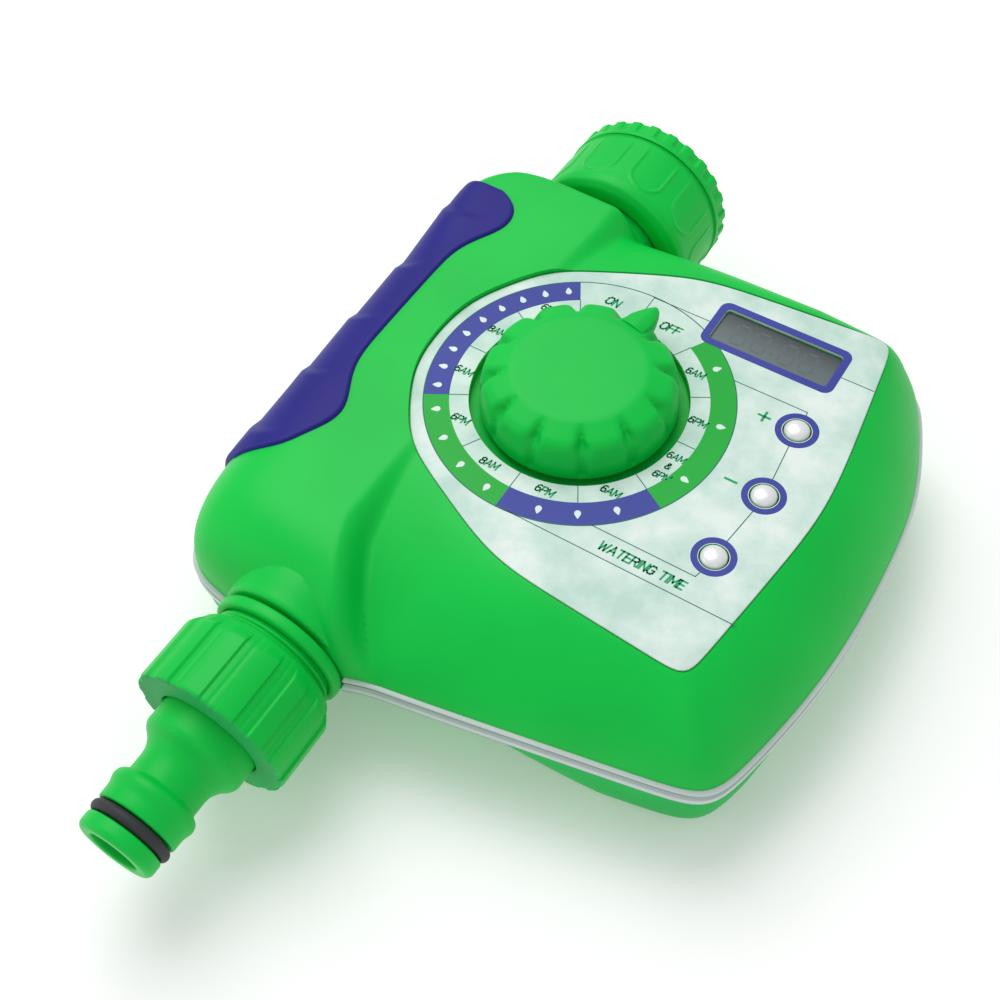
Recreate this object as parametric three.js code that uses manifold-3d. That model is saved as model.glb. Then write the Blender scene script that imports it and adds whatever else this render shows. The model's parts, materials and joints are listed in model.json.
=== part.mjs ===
// Hose-end drip irrigation timer, lying on its back. Millimetres.
// The origin is on the dial axis at the back face. +Z leaves the dial, +Y runs along the
// water pipe towards the tap, +X runs from the dial towards the buttons.
import * as THREE from 'three';
import { mergeVertices } from 'three/addons/utils/BufferGeometryUtils.js';
import Module from 'manifold-3d';

const wasm = await Module();
wasm.setup();

// ---- driving dimensions ------------------------------------------------------------------
const GAP = 0.3; // clearance between pieces that touch
const SEAL_PROUD = 0.8; // how far the seal stands out of the shells
const WALL = 2.4; // housing wall

const SEAL_BOTTOM = 17; // rear shell ends here
const SEAL_TOP = 22; // front shell starts here
const LABEL_TOP = 39; // printed face
const PLATEAU = 39.2; // green face around the label
const BARREL_TOP = 39.8; // top of the bulge over the water pipe
const LABEL_THICK = 0.4;

// Housing outline: straight sides [direction of the normal in degrees, distance from the
// origin], rounded into one another by CORNER.
const OUTLINE = [[-151.2, 75.2], [-98.6, 71.1], [-78.8, 64.1], [-13.6, 69.6], [2.1, 65.6],
  [24, 68.9], [88, 51], [129.3, 69.1], [180, 55.9]];
const CORNER = 2.5;
// Label outline, the same above and below the X axis.
const LABEL_HALF = [[7.9, 52.2], [94.2, 40], [116.7, 33.7], [147.6, 33.1], [172.3, 33.6]];
const LABEL_SIDES = [...LABEL_HALF, ...LABEL_HALF.map(([angle, reach]) => [-angle, reach])];
const LABEL_CORNER = 1.5;
const SHELL_CENTRE_X = 4;
const LABEL_CENTRE_X = 10;
const BODY_CROWN = 1.35; // 1 is a straight slope, 2 a quarter round
const INLET_CROWN = 0.9; // added to it along the inlet end
const BARREL_CROWN = 2.3;
const REAR_CROWN = 2.6;
const REAR_ROUND = 9; // width of the rounded edge of the rear shell
const REAR_TAPER = 4; // added to it where the rear shell tapers
const BARREL_RIGHT = -12.5; // foot of the barrel's inner flank
const BARREL_FLANK = 10;
const OUTLET_SPREAD = 9; // the flank's foot moves out towards both ends
const INLET_SPREAD = 2;
const END_ROUND = 16; // width of the barrel's rounded ends
const INLET_SHARPER = 12.5; // taken off it at the inlet end

const PIPE_X = -24;
const PIPE_Z = 22;
const PIPE_R = 13.5;
const NECK_R = 11.5; // outlet end of the pipe, where it leaves the housing
const NECK_START = -44;
const COLLAR_R = 13.8; // rim around the outlet thread
const COLLAR_START = -68;
const SLEEVE_GAP = 0.8; // between the front shell's sleeve and the collar
const BORE_R = 6.2;
const CHAMBER_R = 10.5;
const CHAMBER_END = 10.2;
const BODY_SPLIT = -14; // valve body and tailpiece meet here
const SPIGOT_END = 56.4;
const NUT_START = 52.5; // tap end
const NUT_END = 69.4;
const BOSS_END = -70.4;
const THREAD_END = -83.6;
const BALL_R = 9;
const BALL_BORE_R = 5.2;

const DIAL_WELL_R = 21.6;
const WELL_FLOOR = 36.4;
const KNOB_R = 19.5;
const KNOB_TOP_R = 17.2;
const KNOB_BOTTOM = 37.8;
const KNOB_TOP = 48;
const KNOB_SCALLOPS = 12;
const POINTER_ANGLE = 77;

const LCD = { x: 27.1, y: 30.9, wide: 25.5, deep: 9 };
const BUTTONS = { plus: [39.8, 13.9], minus: [41.2, -3], set: [39.5, -19.6] };
const BUTTON_R = 2.5;

const BOARD_BOTTOM = 24.5;
const BOARD_TOP = 26.1;

const GEAR_MODULE = 0.8;
const GEAR_X = [-9.8, -7.4];
const DRIVE_TEETH = 24;
const IDLER_TEETH = 18;
const PINION_TEETH = 9;
const CENTRE_SLACK = 0.1; // added to each gear centre distance
const IDLER_DIRECTION = 195; // degrees in the YZ plane, from +Y towards +Z
const PINION_DIRECTION = 204;
const MOTOR_R = 7.6;

const CELL_R = 7.1;
const CELL_HALF = 24.6;
const CELL_Z = 10.8;
const CELL_X = [24, 40];
const TRAY = { x: [14, 50], y: [-31, 31], z: [3.7, 19.4], wall: 1.3 };
const HATCH = { x: [13, 51], y: [-37.5, 33] };

const SCREW_POSTS = [[47, 38], [51, -43.5], [6, 40.5], [6, -45.5], [-45, 38.5], [-45, -51]];
const POST_R = 3.6;
const SCREW_TIP = 27;
const BOARD_POSTS = [[20, -31], [52, 27]];

// ---- materials ---------------------------------------------------------------------------
function finish(color, roughness, metalness = 0) {
  return new THREE.MeshStandardMaterial({ color, roughness, metalness });
}
const GREEN = finish(0x0fce50, 0.38);
const DARK_GREEN = finish(0x0aa546, 0.42);
const BLUE = finish(0x3c3a96, 0.6);
const LABEL_WHITE = finish(0xd6e6de, 0.45);
const SEAL_GREY = finish(0xa9b6b4, 0.35);
const RUBBER = finish(0x3a3d40, 0.75);
const SILVER = finish(0xdadde0, 0.25, 0.7);
const STEEL = finish(0x9b9fa4, 0.3, 1);
const GLASS = finish(0x64737a, 0.15);
const BOARD_GREEN = finish(0x1c5a34, 0.5);
const BLACK = finish(0x26282a, 0.5);
const WHITE_PLASTIC = finish(0xe6e6e2, 0.4);
const BRASS = finish(0xb59a4c, 0.35, 1);
const CELL_GREY = finish(0x8a8f96, 0.4, 0.4);

// ---- solids ------------------------------------------------------------------------------
const radians = THREE.MathUtils.degToRad;

// A closed three.js geometry as a manifold solid with its faces pointing out.
function solid(geometry) {
  const bare = geometry.clone();
  bare.deleteAttribute('normal');
  bare.deleteAttribute('uv');
  const merged = mergeVertices(bare, 1e-4);
  const points = new Float32Array(merged.attributes.position.array);
  const index = merged.index.array;
  const faces = [];
  let volume = 0;
  const corner = (i) => new THREE.Vector3().fromArray(points, 3 * i);
  for (let i = 0; i < index.length; i += 3) {
    const [a, b, c] = [index[i], index[i + 1], index[i + 2]];
    if (a === b || b === c || c === a) continue;
    faces.push(a, b, c);
    volume += corner(a).dot(corner(b).cross(corner(c)));
  }
  if (volume < 0) faces.reverse();
  const mesh = new wasm.Mesh({ numProp: 3, vertProperties: points, triVerts: new Uint32Array(faces) });
  return new wasm.Manifold(mesh);
}

function box([x0, x1], [y0, y1], [z0, z1]) {
  const geometry = new THREE.BoxGeometry(x1 - x0, y1 - y0, z1 - z0);
  return solid(geometry.translate((x0 + x1) / 2, (y0 + y1) / 2, (z0 + z1) / 2));
}

// A profile of [radius, height] points turned about an axis through `at`.
function turned(axis, at, profile, segments = 32) {
  const closed = profile[0][0] > 0 ? [...profile, profile[0]] : profile;
  const points = closed.map(([radius, height]) => new THREE.Vector2(radius, height));
  const geometry = new THREE.LatheGeometry(points, segments);
  if (axis === 'x') geometry.rotateZ(-Math.PI / 2);
  if (axis === 'z') geometry.rotateX(Math.PI / 2);
  return solid(geometry.translate(...at));
}

function rod(axis, at, radius, [from, to], segments = 24) {
  return turned(axis, at, [[0, from], [radius, from], [radius, to], [0, to]], segments);
}

function ring(axis, at, [inner, outer], [from, to], segments = 32) {
  return turned(axis, at, [[inner, from], [outer, from], [outer, to], [inner, to]], segments);
}

function oRing(axis, at, centreRadius, sectionRadius, height, segments = 28) {
  const profile = [];
  for (let i = 0; i < 8; i += 1) {
    const turn = (i + 0.5) * Math.PI / 4;
    profile.push([centreRadius + sectionRadius * Math.cos(turn), height + sectionRadius * Math.sin(turn)]);
  }
  return turned(axis, at, profile, segments);
}

function prism(points, [z0, z1]) {
  const shape = new THREE.Shape(points.map(([x, y]) => new THREE.Vector2(x, y)));
  const geometry = new THREE.ExtrudeGeometry(shape, { depth: z1 - z0, bevelEnabled: false });
  return solid(geometry.translate(0, 0, z0));
}

const onPipe = [PIPE_X, 0, PIPE_Z];
const pipePiece = (profile, segments = 28) => turned('y', onPipe, profile, segments);

const timer = new THREE.Group();
function add(name, piece, material) {
  const { vertProperties, triVerts } = piece.getMesh();
  const geometry = new THREE.BufferGeometry();
  geometry.setAttribute('position', new THREE.BufferAttribute(vertProperties, 3));
  geometry.setIndex(new THREE.BufferAttribute(triVerts, 1));
  geometry.computeVertexNormals();
  const mesh = new THREE.Mesh(geometry, material);
  mesh.name = name;
  timer.add(mesh);
}

// ---- outlines and shell surfaces ---------------------------------------------------------
const unit = (value) => Math.min(1, Math.max(0, value));

// How far a point lies inside a rounded outline.
function inset(sides, corner, x, y) {
  let sum = 0;
  for (const [angle, reach] of sides) {
    const depth = reach - x * Math.cos(radians(angle)) - y * Math.sin(radians(angle));
    sum += Math.exp(-depth / corner);
  }
  return -corner * Math.log(sum);
}

// The housing's outline also flares a little beside the outlet boss.
function housingInset(x, y) {
  const flare = 1.4 * Math.exp(-(((x + 13) / 5.5) ** 2)) * unit((-40 - y) / 15);
  return inset(OUTLINE, CORNER, x, y) + flare;
}

// Distance from a centre on the X axis to the line that lies `depth` inside the outline.
function rimRadius(insetAt, centreX, turn, depth) {
  let low = 0;
  let high = 110;
  for (let i = 0; i < 30; i += 1) {
    const middle = (low + high) / 2;
    const x = centreX + middle * Math.cos(turn);
    if (insetAt(x, middle * Math.sin(turn)) > depth) low = middle;
    else high = middle;
  }
  return low;
}

function outlinePoints(insetAt, centreX, depth, count) {
  return Array.from({ length: count }, (_, i) => {
    const turn = (i / count) * 2 * Math.PI;
    const radius = rimRadius(insetAt, centreX, turn, depth);
    return [centreX + radius * Math.cos(turn), radius * Math.sin(turn)];
  });
}

const labelInset = (x, y) => inset(LABEL_SIDES, LABEL_CORNER, x, y);
const housingOutline = (depth, count = 56) =>
  outlinePoints(housingInset, SHELL_CENTRE_X, depth, count);
const labelOutline = (depth, count = 56) =>
  outlinePoints(labelInset, LABEL_CENTRE_X, depth, count);

// A rounded shoulder that climbs from 0 at the rim to 1.
const crown = (t, power) => (1 - (1 - Math.min(1, t)) ** power) ** (1 / power);

function smoothMax(a, b, blend) {
  const overlap = Math.max(blend - Math.abs(a - b), 0) / Math.max(blend, 1e-6);
  return Math.max(a, b) + overlap * overlap * blend / 4;
}

// Height of the front shell, `wall` inside its outer surface.
function frontHeight(x, y, wall) {
  const edge = Math.max(0, housingInset(x, y) - wall);
  const beyondLabel = Math.max(0, 1 + 0.6 * wall - labelInset(x, y));
  const nearInlet = unit((y - 25) / 20) * unit((50 - x) / 20);
  const fullness = BODY_CROWN + INLET_CROWN * nearInlet;
  const body = (PLATEAU - wall - SEAL_TOP) * crown(edge / (edge + beyondLabel + 1e-6), fullness);
  const endRound = END_ROUND - 0.05 * Math.min(0, y) - INLET_SHARPER * unit((y - 15) / 33);
  const fromEdge = 1 - Math.min(1, edge / endRound);
  const spread = OUTLET_SPREAD * unit((-46 - y) / 20) ** 1.3 + INLET_SPREAD * unit((y - 20) / 20);
  const foot = BARREL_RIGHT + spread - wall;
  const fromFlank = 1 - unit((foot - x) / BARREL_FLANK);
  const climb = Math.sin((1 - fromFlank) * Math.PI / 2);
  const rise = (1 - fromEdge ** BARREL_CROWN) ** (1 / BARREL_CROWN);
  const barrel = (BARREL_TOP - wall - SEAL_TOP) * climb * rise;
  return SEAL_TOP + smoothMax(body, barrel, Math.min(2, edge));
}

// Height of the rear shell's outer surface, or `wall` inside it.
function rearHeight(x, y, wall) {
  const edge = Math.max(0, housingInset(x, y) - wall);
  const outletSide = unit((-25 - y) / 15) * unit((38 - x) / 20) * unit((x + 34) / 12);
  const keySide = 0.6 * unit((x - 35) / 10) * unit((y + 42) / 12) * unit((30 - y) / 10);
  const taper = Math.max(outletSide, keySide);
  const shoulder = crown(edge / (REAR_ROUND + REAR_TAPER * taper), REAR_CROWN - 1.4 * taper);
  return SEAL_BOTTOM - (SEAL_BOTTOM - wall) * shoulder;
}

// A dished shell between a height surface and the same surface `WALL` inside it.
function dishedShell(height, columns = 48, rings = 8) {
  const points = [];
  const faces = [];
  const at = (layer, ringNumber, column) => (layer * rings + ringNumber) * columns + column % columns;
  for (const wall of [0, WALL]) {
    for (let ringNumber = 0; ringNumber < rings; ringNumber += 1) {
      const share = 1 - (ringNumber / rings) ** 2.1;
      for (let column = 0; column < columns; column += 1) {
        const turn = (column / columns) * 2 * Math.PI;
        const radius = share * rimRadius(housingInset, SHELL_CENTRE_X, turn, wall);
        const x = SHELL_CENTRE_X + radius * Math.cos(turn);
        const y = radius * Math.sin(turn);
        points.push(x, y, height(x, y, wall));
      }
    }
  }
  for (const wall of [0, WALL]) points.push(SHELL_CENTRE_X, 0, height(SHELL_CENTRE_X, 0, wall));
  for (let column = 0; column < columns; column += 1) {
    for (let ringNumber = 0; ringNumber < rings - 1; ringNumber += 1) {
      for (const layer of [0, 1]) {
        const a = at(layer, ringNumber, column);
        const b = at(layer, ringNumber, column + 1);
        const c = at(layer, ringNumber + 1, column + 1);
        const d = at(layer, ringNumber + 1, column);
        if (layer) faces.push(a, c, b, a, d, c);
        else faces.push(a, b, c, a, c, d);
      }
    }
    const middle = 2 * rings * columns;
    faces.push(at(0, rings - 1, column), at(0, rings - 1, column + 1), middle);
    faces.push(at(1, rings - 1, column + 1), at(1, rings - 1, column), middle + 1);
    faces.push(at(0, 0, column + 1), at(0, 0, column), at(1, 0, column));
    faces.push(at(0, 0, column + 1), at(1, 0, column), at(1, 0, column + 1));
  }
  const geometry = new THREE.BufferGeometry();
  geometry.setAttribute('position', new THREE.Float32BufferAttribute(points, 3));
  geometry.setIndex(faces);
  return solid(geometry);
}

// ---- housing -----------------------------------------------------------------------------
// A post ends inside the front wall, below the lowest wall that it passes under.
function postTop(x, y) {
  const around = Array.from({ length: 8 }, (_, i) => i * Math.PI / 4);
  const heights = around.map((turn) =>
    frontHeight(x + POST_R * Math.cos(turn), y + POST_R * Math.sin(turn), WALL));
  return Math.min(...heights) + WALL / 2;
}

function frontHousing() {
  let shell = dishedShell(frontHeight);
  shell = shell.add(rod('z', [0, 0, 0], DIAL_WELL_R + WALL, [WELL_FLOOR - WALL, PLATEAU - 1], 32));
  for (const [x, y] of SCREW_POSTS) {
    const top = postTop(x, y);
    shell = shell.add(rod('z', [x, y, 0], POST_R, [SEAL_TOP, top], 10));
    shell = shell.subtract(rod('z', [x, y, 0], 1.7, [SEAL_TOP - 1, SCREW_TIP + 0.5], 8));
  }
  for (const [x, y] of BOARD_POSTS) {
    shell = shell.add(rod('z', [x, y, 0], 2.8, [BOARD_TOP + GAP, postTop(x, y)], 10));
    shell = shell.subtract(rod('z', [x, y, 0], 1.4, [BOARD_TOP, 33], 8));
  }
  const labelFloor = LABEL_TOP - LABEL_THICK - 0.2;
  shell = shell.subtract(prism(labelOutline(-GAP), [labelFloor, 45]));
  shell = shell.subtract(rod('z', [0, 0, 0], DIAL_WELL_R, [WELL_FLOOR, 45], 32));
  shell = shell.subtract(rod('z', [0, 0, 0], 3.5, [30, 45], 12));
  const windowX = [LCD.x - LCD.wide / 2, LCD.x + LCD.wide / 2];
  const windowY = [LCD.y - LCD.deep / 2, LCD.y + LCD.deep / 2];
  shell = shell.subtract(box(windowX, windowY, [30, 45]));
  for (const [x, y] of Object.values(BUTTONS)) {
    shell = shell.subtract(rod('z', [x, y, 0], BUTTON_R + GAP, [30, 45], 12));
  }
  return shell.add(outletSleeve()).subtract(pipeTunnel());
}

function rearHousing() {
  let shell = dishedShell(rearHeight);
  for (const [x, y] of SCREW_POSTS) {
    shell = shell.add(rod('z', [x, y, 0], 4, [1, SEAL_BOTTOM], 10));
    shell = shell.subtract(rod('z', [x, y, 0], 3.2, [-1, 3.2], 10));
    shell = shell.subtract(rod('z', [x, y, 0], 1.8, [0, SEAL_BOTTOM + 1], 8));
  }
  shell = shell.subtract(box(HATCH.x, HATCH.y, [-1, WALL + 1]));
  return shell.subtract(pipeTunnel());
}

// The room that the water pipe takes in the housing.
function pipeTunnel() {
  return rod('y', onPipe, PIPE_R + GAP, [NECK_START - GAP, 90], 28)
    .add(rod('y', onPipe, NECK_R + GAP, [-90, 0], 28))
    .add(rod('y', onPipe, COLLAR_R + GAP, [-90, COLLAR_START + GAP], 28));
}

// The front shell narrows to the outlet collar.
function outletSleeve() {
  const tip = COLLAR_START + SLEEVE_GAP;
  const profile = [[NECK_R, -57], [14.9, -59.5], [14.6, -62.5], [14.2, -65],
    [COLLAR_R + 0.2, tip], [NECK_R, tip]];
  return turned('y', onPipe, profile, 40).intersect(box([-60, 0], [-90, -40], [SEAL_TOP, 60]));
}

// The housing seal is cut in two where the water pipe passes through it.
function sealHalf(side) {
  const levels = [SEAL_BOTTOM + GAP, SEAL_TOP - GAP];
  const band = prism(housingOutline(-SEAL_PROUD), levels).subtract(prism(housingOutline(4.2), [0, 40]));
  const half = side < 0 ? [-100, PIPE_X] : [PIPE_X, 100];
  return band.intersect(box(half, [-100, NUT_START - GAP], [0, 40]))
    .subtract(pipeTunnel());
}

function faceLabel() {
  let plate = prism(labelOutline(0), [LABEL_TOP - LABEL_THICK, LABEL_TOP]);
  plate = plate.subtract(rod('z', [0, 0, 0], DIAL_WELL_R, [30, 45], 32));
  const windowX = [LCD.x - LCD.wide / 2, LCD.x + LCD.wide / 2];
  const windowY = [LCD.y - LCD.deep / 2, LCD.y + LCD.deep / 2];
  plate = plate.subtract(box(windowX, windowY, [30, 45]));
  for (const [x, y] of Object.values(BUTTONS)) {
    plate = plate.subtract(rod('z', [x, y, 0], BUTTON_R + GAP, [30, 45], 12));
  }
  return plate;
}

// Inner edge of the soft grip: a band that swells at its two ends.
function gripEdge(y) {
  return -42.6 + 5.6 * Math.exp(-(((y + 28) / 9) ** 2)) + 5.8 * Math.exp(-(((y - 33) / 9) ** 2))
    - 12 * Math.exp(-(((y + 46) / 5) ** 2)) - 12 * Math.exp(-(((y - 46) / 5) ** 2));
}

function gripPad(rows = 18, steps = 8) {
  const points = [];
  const faces = [];
  for (const lift of [0.75, 1.8]) {
    for (let row = 0; row <= rows; row += 1) {
      const y = -45 + 86 * row / rows;
      const inner = gripEdge(y);
      const turn = Math.atan2(y, -50 - SHELL_CENTRE_X);
      const rim = SHELL_CENTRE_X + rimRadius(housingInset, SHELL_CENTRE_X, turn, 0) * Math.cos(turn);
      for (let step = 0; step <= steps; step += 1) {
        const x = inner + (rim - inner) * (1 - (1 - step / steps) ** 1.7);
        const slopeX = (frontHeight(x + 0.1, y, 0) - frontHeight(x - 0.1, y, 0)) / 0.2;
        const slopeY = (frontHeight(x, y + 0.1, 0) - frontHeight(x, y - 0.1, 0)) / 0.2;
        const normal = new THREE.Vector3(-slopeX, -slopeY, 1).normalize().multiplyScalar(lift);
        points.push(x + normal.x, y + normal.y, Math.max(SEAL_TOP + 0.4, frontHeight(x, y, 0) + normal.z));
      }
    }
  }
  const at = (layer, row, step) => (layer * (rows + 1) + row) * (steps + 1) + step;
  const quad = (a, b, c, d) => faces.push(a, b, c, a, c, d);
  for (let row = 0; row < rows; row += 1) {
    for (let step = 0; step < steps; step += 1) {
      quad(at(0, row, step), at(0, row + 1, step), at(0, row + 1, step + 1), at(0, row, step + 1));
      quad(at(1, row, step), at(1, row, step + 1), at(1, row + 1, step + 1), at(1, row + 1, step));
    }
    quad(at(0, row, 0), at(1, row, 0), at(1, row + 1, 0), at(0, row + 1, 0));
    quad(at(0, row, steps), at(0, row + 1, steps), at(1, row + 1, steps), at(1, row, steps));
  }
  for (let step = 0; step < steps; step += 1) {
    quad(at(0, 0, step), at(0, 0, step + 1), at(1, 0, step + 1), at(1, 0, step));
    quad(at(0, rows, step), at(1, rows, step), at(1, rows, step + 1), at(0, rows, step + 1));
  }
  const geometry = new THREE.BufferGeometry();
  geometry.setAttribute('position', new THREE.Float32BufferAttribute(points, 3));
  geometry.setIndex(faces);
  return solid(geometry);
}

const front = frontHousing();
const grip = gripPad().subtract(front.translate([0, 0, 0.2])).subtract(front.translate([-0.2, 0, 0]));
add('front_housing', front, GREEN);
add('rear_housing', rearHousing(), GREEN);
add('seal_left', sealHalf(-1), SEAL_GREY);
add('seal_right', sealHalf(1), SEAL_GREY);
add('face_label', faceLabel(), LABEL_WHITE);
add('grip_pad', grip, BLUE);
SCREW_POSTS.forEach(([x, y], i) => {
  const profile = [[0, 0.9], [2.8, 0.9], [2.8, 2.8], [1.35, 2.8], [1.35, SCREW_TIP - 1],
    [0, SCREW_TIP]];
  add(`housing_screw_${i + 1}`, turned('z', [x, y, 0], profile, 12), STEEL);
});

// ---- dial --------------------------------------------------------------------------------
function selectorKnob() {
  const profile = [[3.3, KNOB_BOTTOM], [KNOB_R, KNOB_BOTTOM], [KNOB_R - 0.3, KNOB_BOTTOM + 4.5],
    [KNOB_TOP_R + 1.2, KNOB_TOP - 1.9], [KNOB_TOP_R, KNOB_TOP - 0.5], [KNOB_TOP_R - 2.2, KNOB_TOP],
    [0, KNOB_TOP], [0, KNOB_TOP - 3], [3.3, KNOB_TOP - 3]];
  const points = profile.map(([radius, height]) => new THREE.Vector2(radius, height));
  points.push(points[0]);
  let knob = solid(new THREE.LatheGeometry(points, 36).rotateX(Math.PI / 2));
  const pointer = prism([[-2.6, 16], [2.6, 16], [1, KNOB_R + 2.4], [-1, KNOB_R + 2.4]],
    [KNOB_TOP - 4, KNOB_TOP - 0.8]);
  knob = knob.add(pointer.rotate([0, 0, POINTER_ANGLE - 90]));
  for (let i = 0; i < KNOB_SCALLOPS; i += 1) {
    const turn = radians(POINTER_ANGLE + (i + 0.5) * 360 / KNOB_SCALLOPS);
    const at = [21.3 * Math.cos(turn), 21.3 * Math.sin(turn), 0];
    knob = knob.subtract(rod('z', at, 3, [KNOB_BOTTOM + 3.5, KNOB_TOP + 1], 12));
  }
  return knob;
}

add('selector_knob', selectorKnob(), GREEN);
const shaftFlat = box([1.6, 5], [-5, 5], [37, 46]);
add('knob_shaft', rod('z', [0, 0, 0], 3, [28.2, KNOB_TOP - 3.3], 20).subtract(shaftFlat), WHITE_PLASTIC);
const switchBody = box([-4.9, 4.9], [-5, 5], [BOARD_TOP + GAP, 32]);
add('rotary_switch', switchBody.subtract(rod('z', [0, 0, 0], 3.25, [27.9, 40], 20)), BLACK);

// ---- display and buttons -----------------------------------------------------------------
function controlBoard() {
  let board = box([-4.9, 54], [-36, 36.5], [BOARD_BOTTOM, BOARD_TOP]);
  for (const [x, y] of SCREW_POSTS) board = board.subtract(rod('z', [x, y, 0], 4.3, [20, 30], 16));
  for (const [x, y] of BOARD_POSTS) board = board.subtract(rod('z', [x, y, 0], 1.5, [20, 30], 12));
  return board;
}

const lens = { x: LCD.wide / 2 - GAP, y: LCD.deep / 2 - GAP };
add('lcd_window', box([LCD.x - lens.x, LCD.x + lens.x], [LCD.y - lens.y, LCD.y + lens.y],
  [36.9, LABEL_TOP - 0.1]), GLASS);
add('lcd_module', box([LCD.x - 14.6, LCD.x + 14.6], [LCD.y - 6.4, LCD.y + 6.4], [32.3, 36.2]), GLASS);
add('lcd_holder', box([LCD.x - 15, LCD.x + 15], [LCD.y - 6.8, LCD.y + 6.8], [BOARD_TOP + GAP, 32]),
  WHITE_PLASTIC);
Object.entries(BUTTONS).forEach(([name, [x, y]], i) => {
  const profile = [[0, 32], [1.6, 32], [1.6, 34], [3.5, 34], [3.5, 35.8], [BUTTON_R, 35.8],
    [BUTTON_R, LABEL_TOP + 0.2], [1.9, LABEL_TOP + 0.8], [1, LABEL_TOP + 1.1], [0, LABEL_TOP + 1.2]];
  add(`button_${name}`, turned('z', [x, y, 0], profile, 14), SILVER);
  const tact = box([x - 3, x + 3], [y - 3, y + 3], [BOARD_TOP + GAP, 29.6]);
  add(`tact_switch_${i + 1}`, tact.add(rod('z', [x, y, 0], 1.7, [29, 30.6], 12)), BLACK);
});
add('control_board', controlBoard(), BOARD_GREEN);
BOARD_POSTS.forEach(([x, y], i) => {
  const profile = [[0, 22.6], [2.4, 22.6], [2.4, 24.2], [1.1, 24.2], [1.1, 31], [0, 32]];
  add(`board_screw_${i + 1}`, turned('z', [x, y, 0], profile, 12), STEEL);
});

// ---- water pipe and valve ----------------------------------------------------------------
function valveBody() {
  const flange = SPIGOT_END - 2.2;
  const profile = [[8, SPIGOT_END], [15.2, SPIGOT_END], [15.2, flange], [PIPE_R, flange],
    [PIPE_R, BODY_SPLIT], [CHAMBER_R, BODY_SPLIT], [CHAMBER_R, CHAMBER_END], [BORE_R, CHAMBER_END],
    [BORE_R, 14], [8, 18]];
  const boss = rod('x', [0, 0, PIPE_Z], 6, [PIPE_X + 11.5, GEAR_X[0] - GAP], 20);
  return pipePiece(profile).add(boss)
    .subtract(rod('x', [0, 0, PIPE_Z], 3.3, [PIPE_X + 9, -5], 20));
}

// Threads are plain ridges at the pitch of a 3/4 inch pipe thread.
function tailpiece() {
  const profile = [[BORE_R, -10.2], [10.2, -10.2], [10.2, BODY_SPLIT - GAP], [PIPE_R, BODY_SPLIT - GAP],
    [PIPE_R, NECK_START], [NECK_R, NECK_START], [NECK_R, COLLAR_START], [COLLAR_R - 0.6, COLLAR_START],
    [COLLAR_R, COLLAR_START - 0.6], [COLLAR_R, BOSS_END + 0.6], [COLLAR_R - 0.6, BOSS_END],
    [12.2, BOSS_END - 0.3]];
  for (let i = 0; i < 3; i += 1) {
    const y = BOSS_END - 1.2 - i * 1.814;
    profile.push([12.2, y + 0.5], [13.2, y + 0.1], [13.2, y - 0.2], [12.2, y - 0.6]);
  }
  profile.push([12.2, THREAD_END], [8, THREAD_END], [BORE_R, THREAD_END + 6]);
  return pipePiece(profile);
}

function valveBall() {
  const sphere = solid(new THREE.SphereGeometry(BALL_R, 18, 12).translate(...onPipe));
  const slot = box([PIPE_X + 6.4, PIPE_X + 10], [-10, 10], [PIPE_Z - 1.4, PIPE_Z + 1.4]);
  return sphere.subtract(rod('z', [PIPE_X, 0, 0], BALL_BORE_R, [0, 60], 20)).subtract(slot);
}

function valveStem() {
  const profile = [[0, PIPE_X + 9.3], [3, PIPE_X + 9.3], [3, -12.6], [1.9, -12.6], [1.9, -11.2],
    [3, -11.2], [3, -10], [2, -10], [2, -5.6], [0, -5.6]];
  const tang = box([PIPE_X + 6.8, PIPE_X + 10], [-2.8, 2.8], [PIPE_Z - 1.1, PIPE_Z + 1.1]);
  return turned('x', [0, 0, PIPE_Z], profile, 20).add(tang);
}

function valveSeat(side) {
  const profile = [[6, 9.9], [10.2, 9.9], [10.2, 4.6], [8.3, 4.6], [6, 7.3]];
  return pipePiece(profile.map(([radius, y]) => [radius, side * y]), 28);
}

add('valve_body', valveBody(), GREEN);
add('valve_tailpiece', tailpiece(), GREEN);
add('valve_ball', valveBall(), STEEL);
add('valve_seat_inlet', valveSeat(1), WHITE_PLASTIC);
add('valve_seat_outlet', valveSeat(-1), WHITE_PLASTIC);
add('valve_stem', valveStem(), BRASS);
add('stem_oring', oRing('x', [0, 0, PIPE_Z], 2.55, 0.55, -11.9, 16), RUBBER);

// ---- valve drive -------------------------------------------------------------------------
// A spur gear about the X axis at [y, z], with one tooth centred on `phase`.
function gear(teeth, [y, z], phase, bore) {
  const pitch = GEAR_MODULE * teeth / 2;
  const flank = [[pitch - 1.15 * GEAR_MODULE, 1.25], [pitch - 0.1, 0.94], [pitch + 0.85 * GEAR_MODULE, 0.42]];
  const points = [];
  for (let i = 0; i < teeth; i += 1) {
    const centre = radians(phase) + (i / teeth) * 2 * Math.PI;
    for (const [radius, width] of flank) {
      const turn = centre - width / 2 / radius;
      points.push([radius * Math.cos(turn), radius * Math.sin(turn)]);
    }
    for (const [radius, width] of [...flank].reverse()) {
      const turn = centre + width / 2 / radius;
      points.push([radius * Math.cos(turn), radius * Math.sin(turn)]);
    }
  }
  const shape = new THREE.Shape(points.map(([u, v]) => new THREE.Vector2(u, v)));
  const depth = GEAR_X[1] - GEAR_X[0];
  const blank = new THREE.ExtrudeGeometry(shape, { depth, bevelEnabled: false });
  const axes = [new THREE.Vector3(0, 1, 0), new THREE.Vector3(0, 0, 1), new THREE.Vector3(1, 0, 0)];
  blank.applyMatrix4(new THREE.Matrix4().makeBasis(...axes)).translate(GEAR_X[0], y, z);
  return solid(blank).subtract(rod('x', [0, y, z], bore, [GEAR_X[0] - 1, GEAR_X[1] + 1], 16));
}

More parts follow.
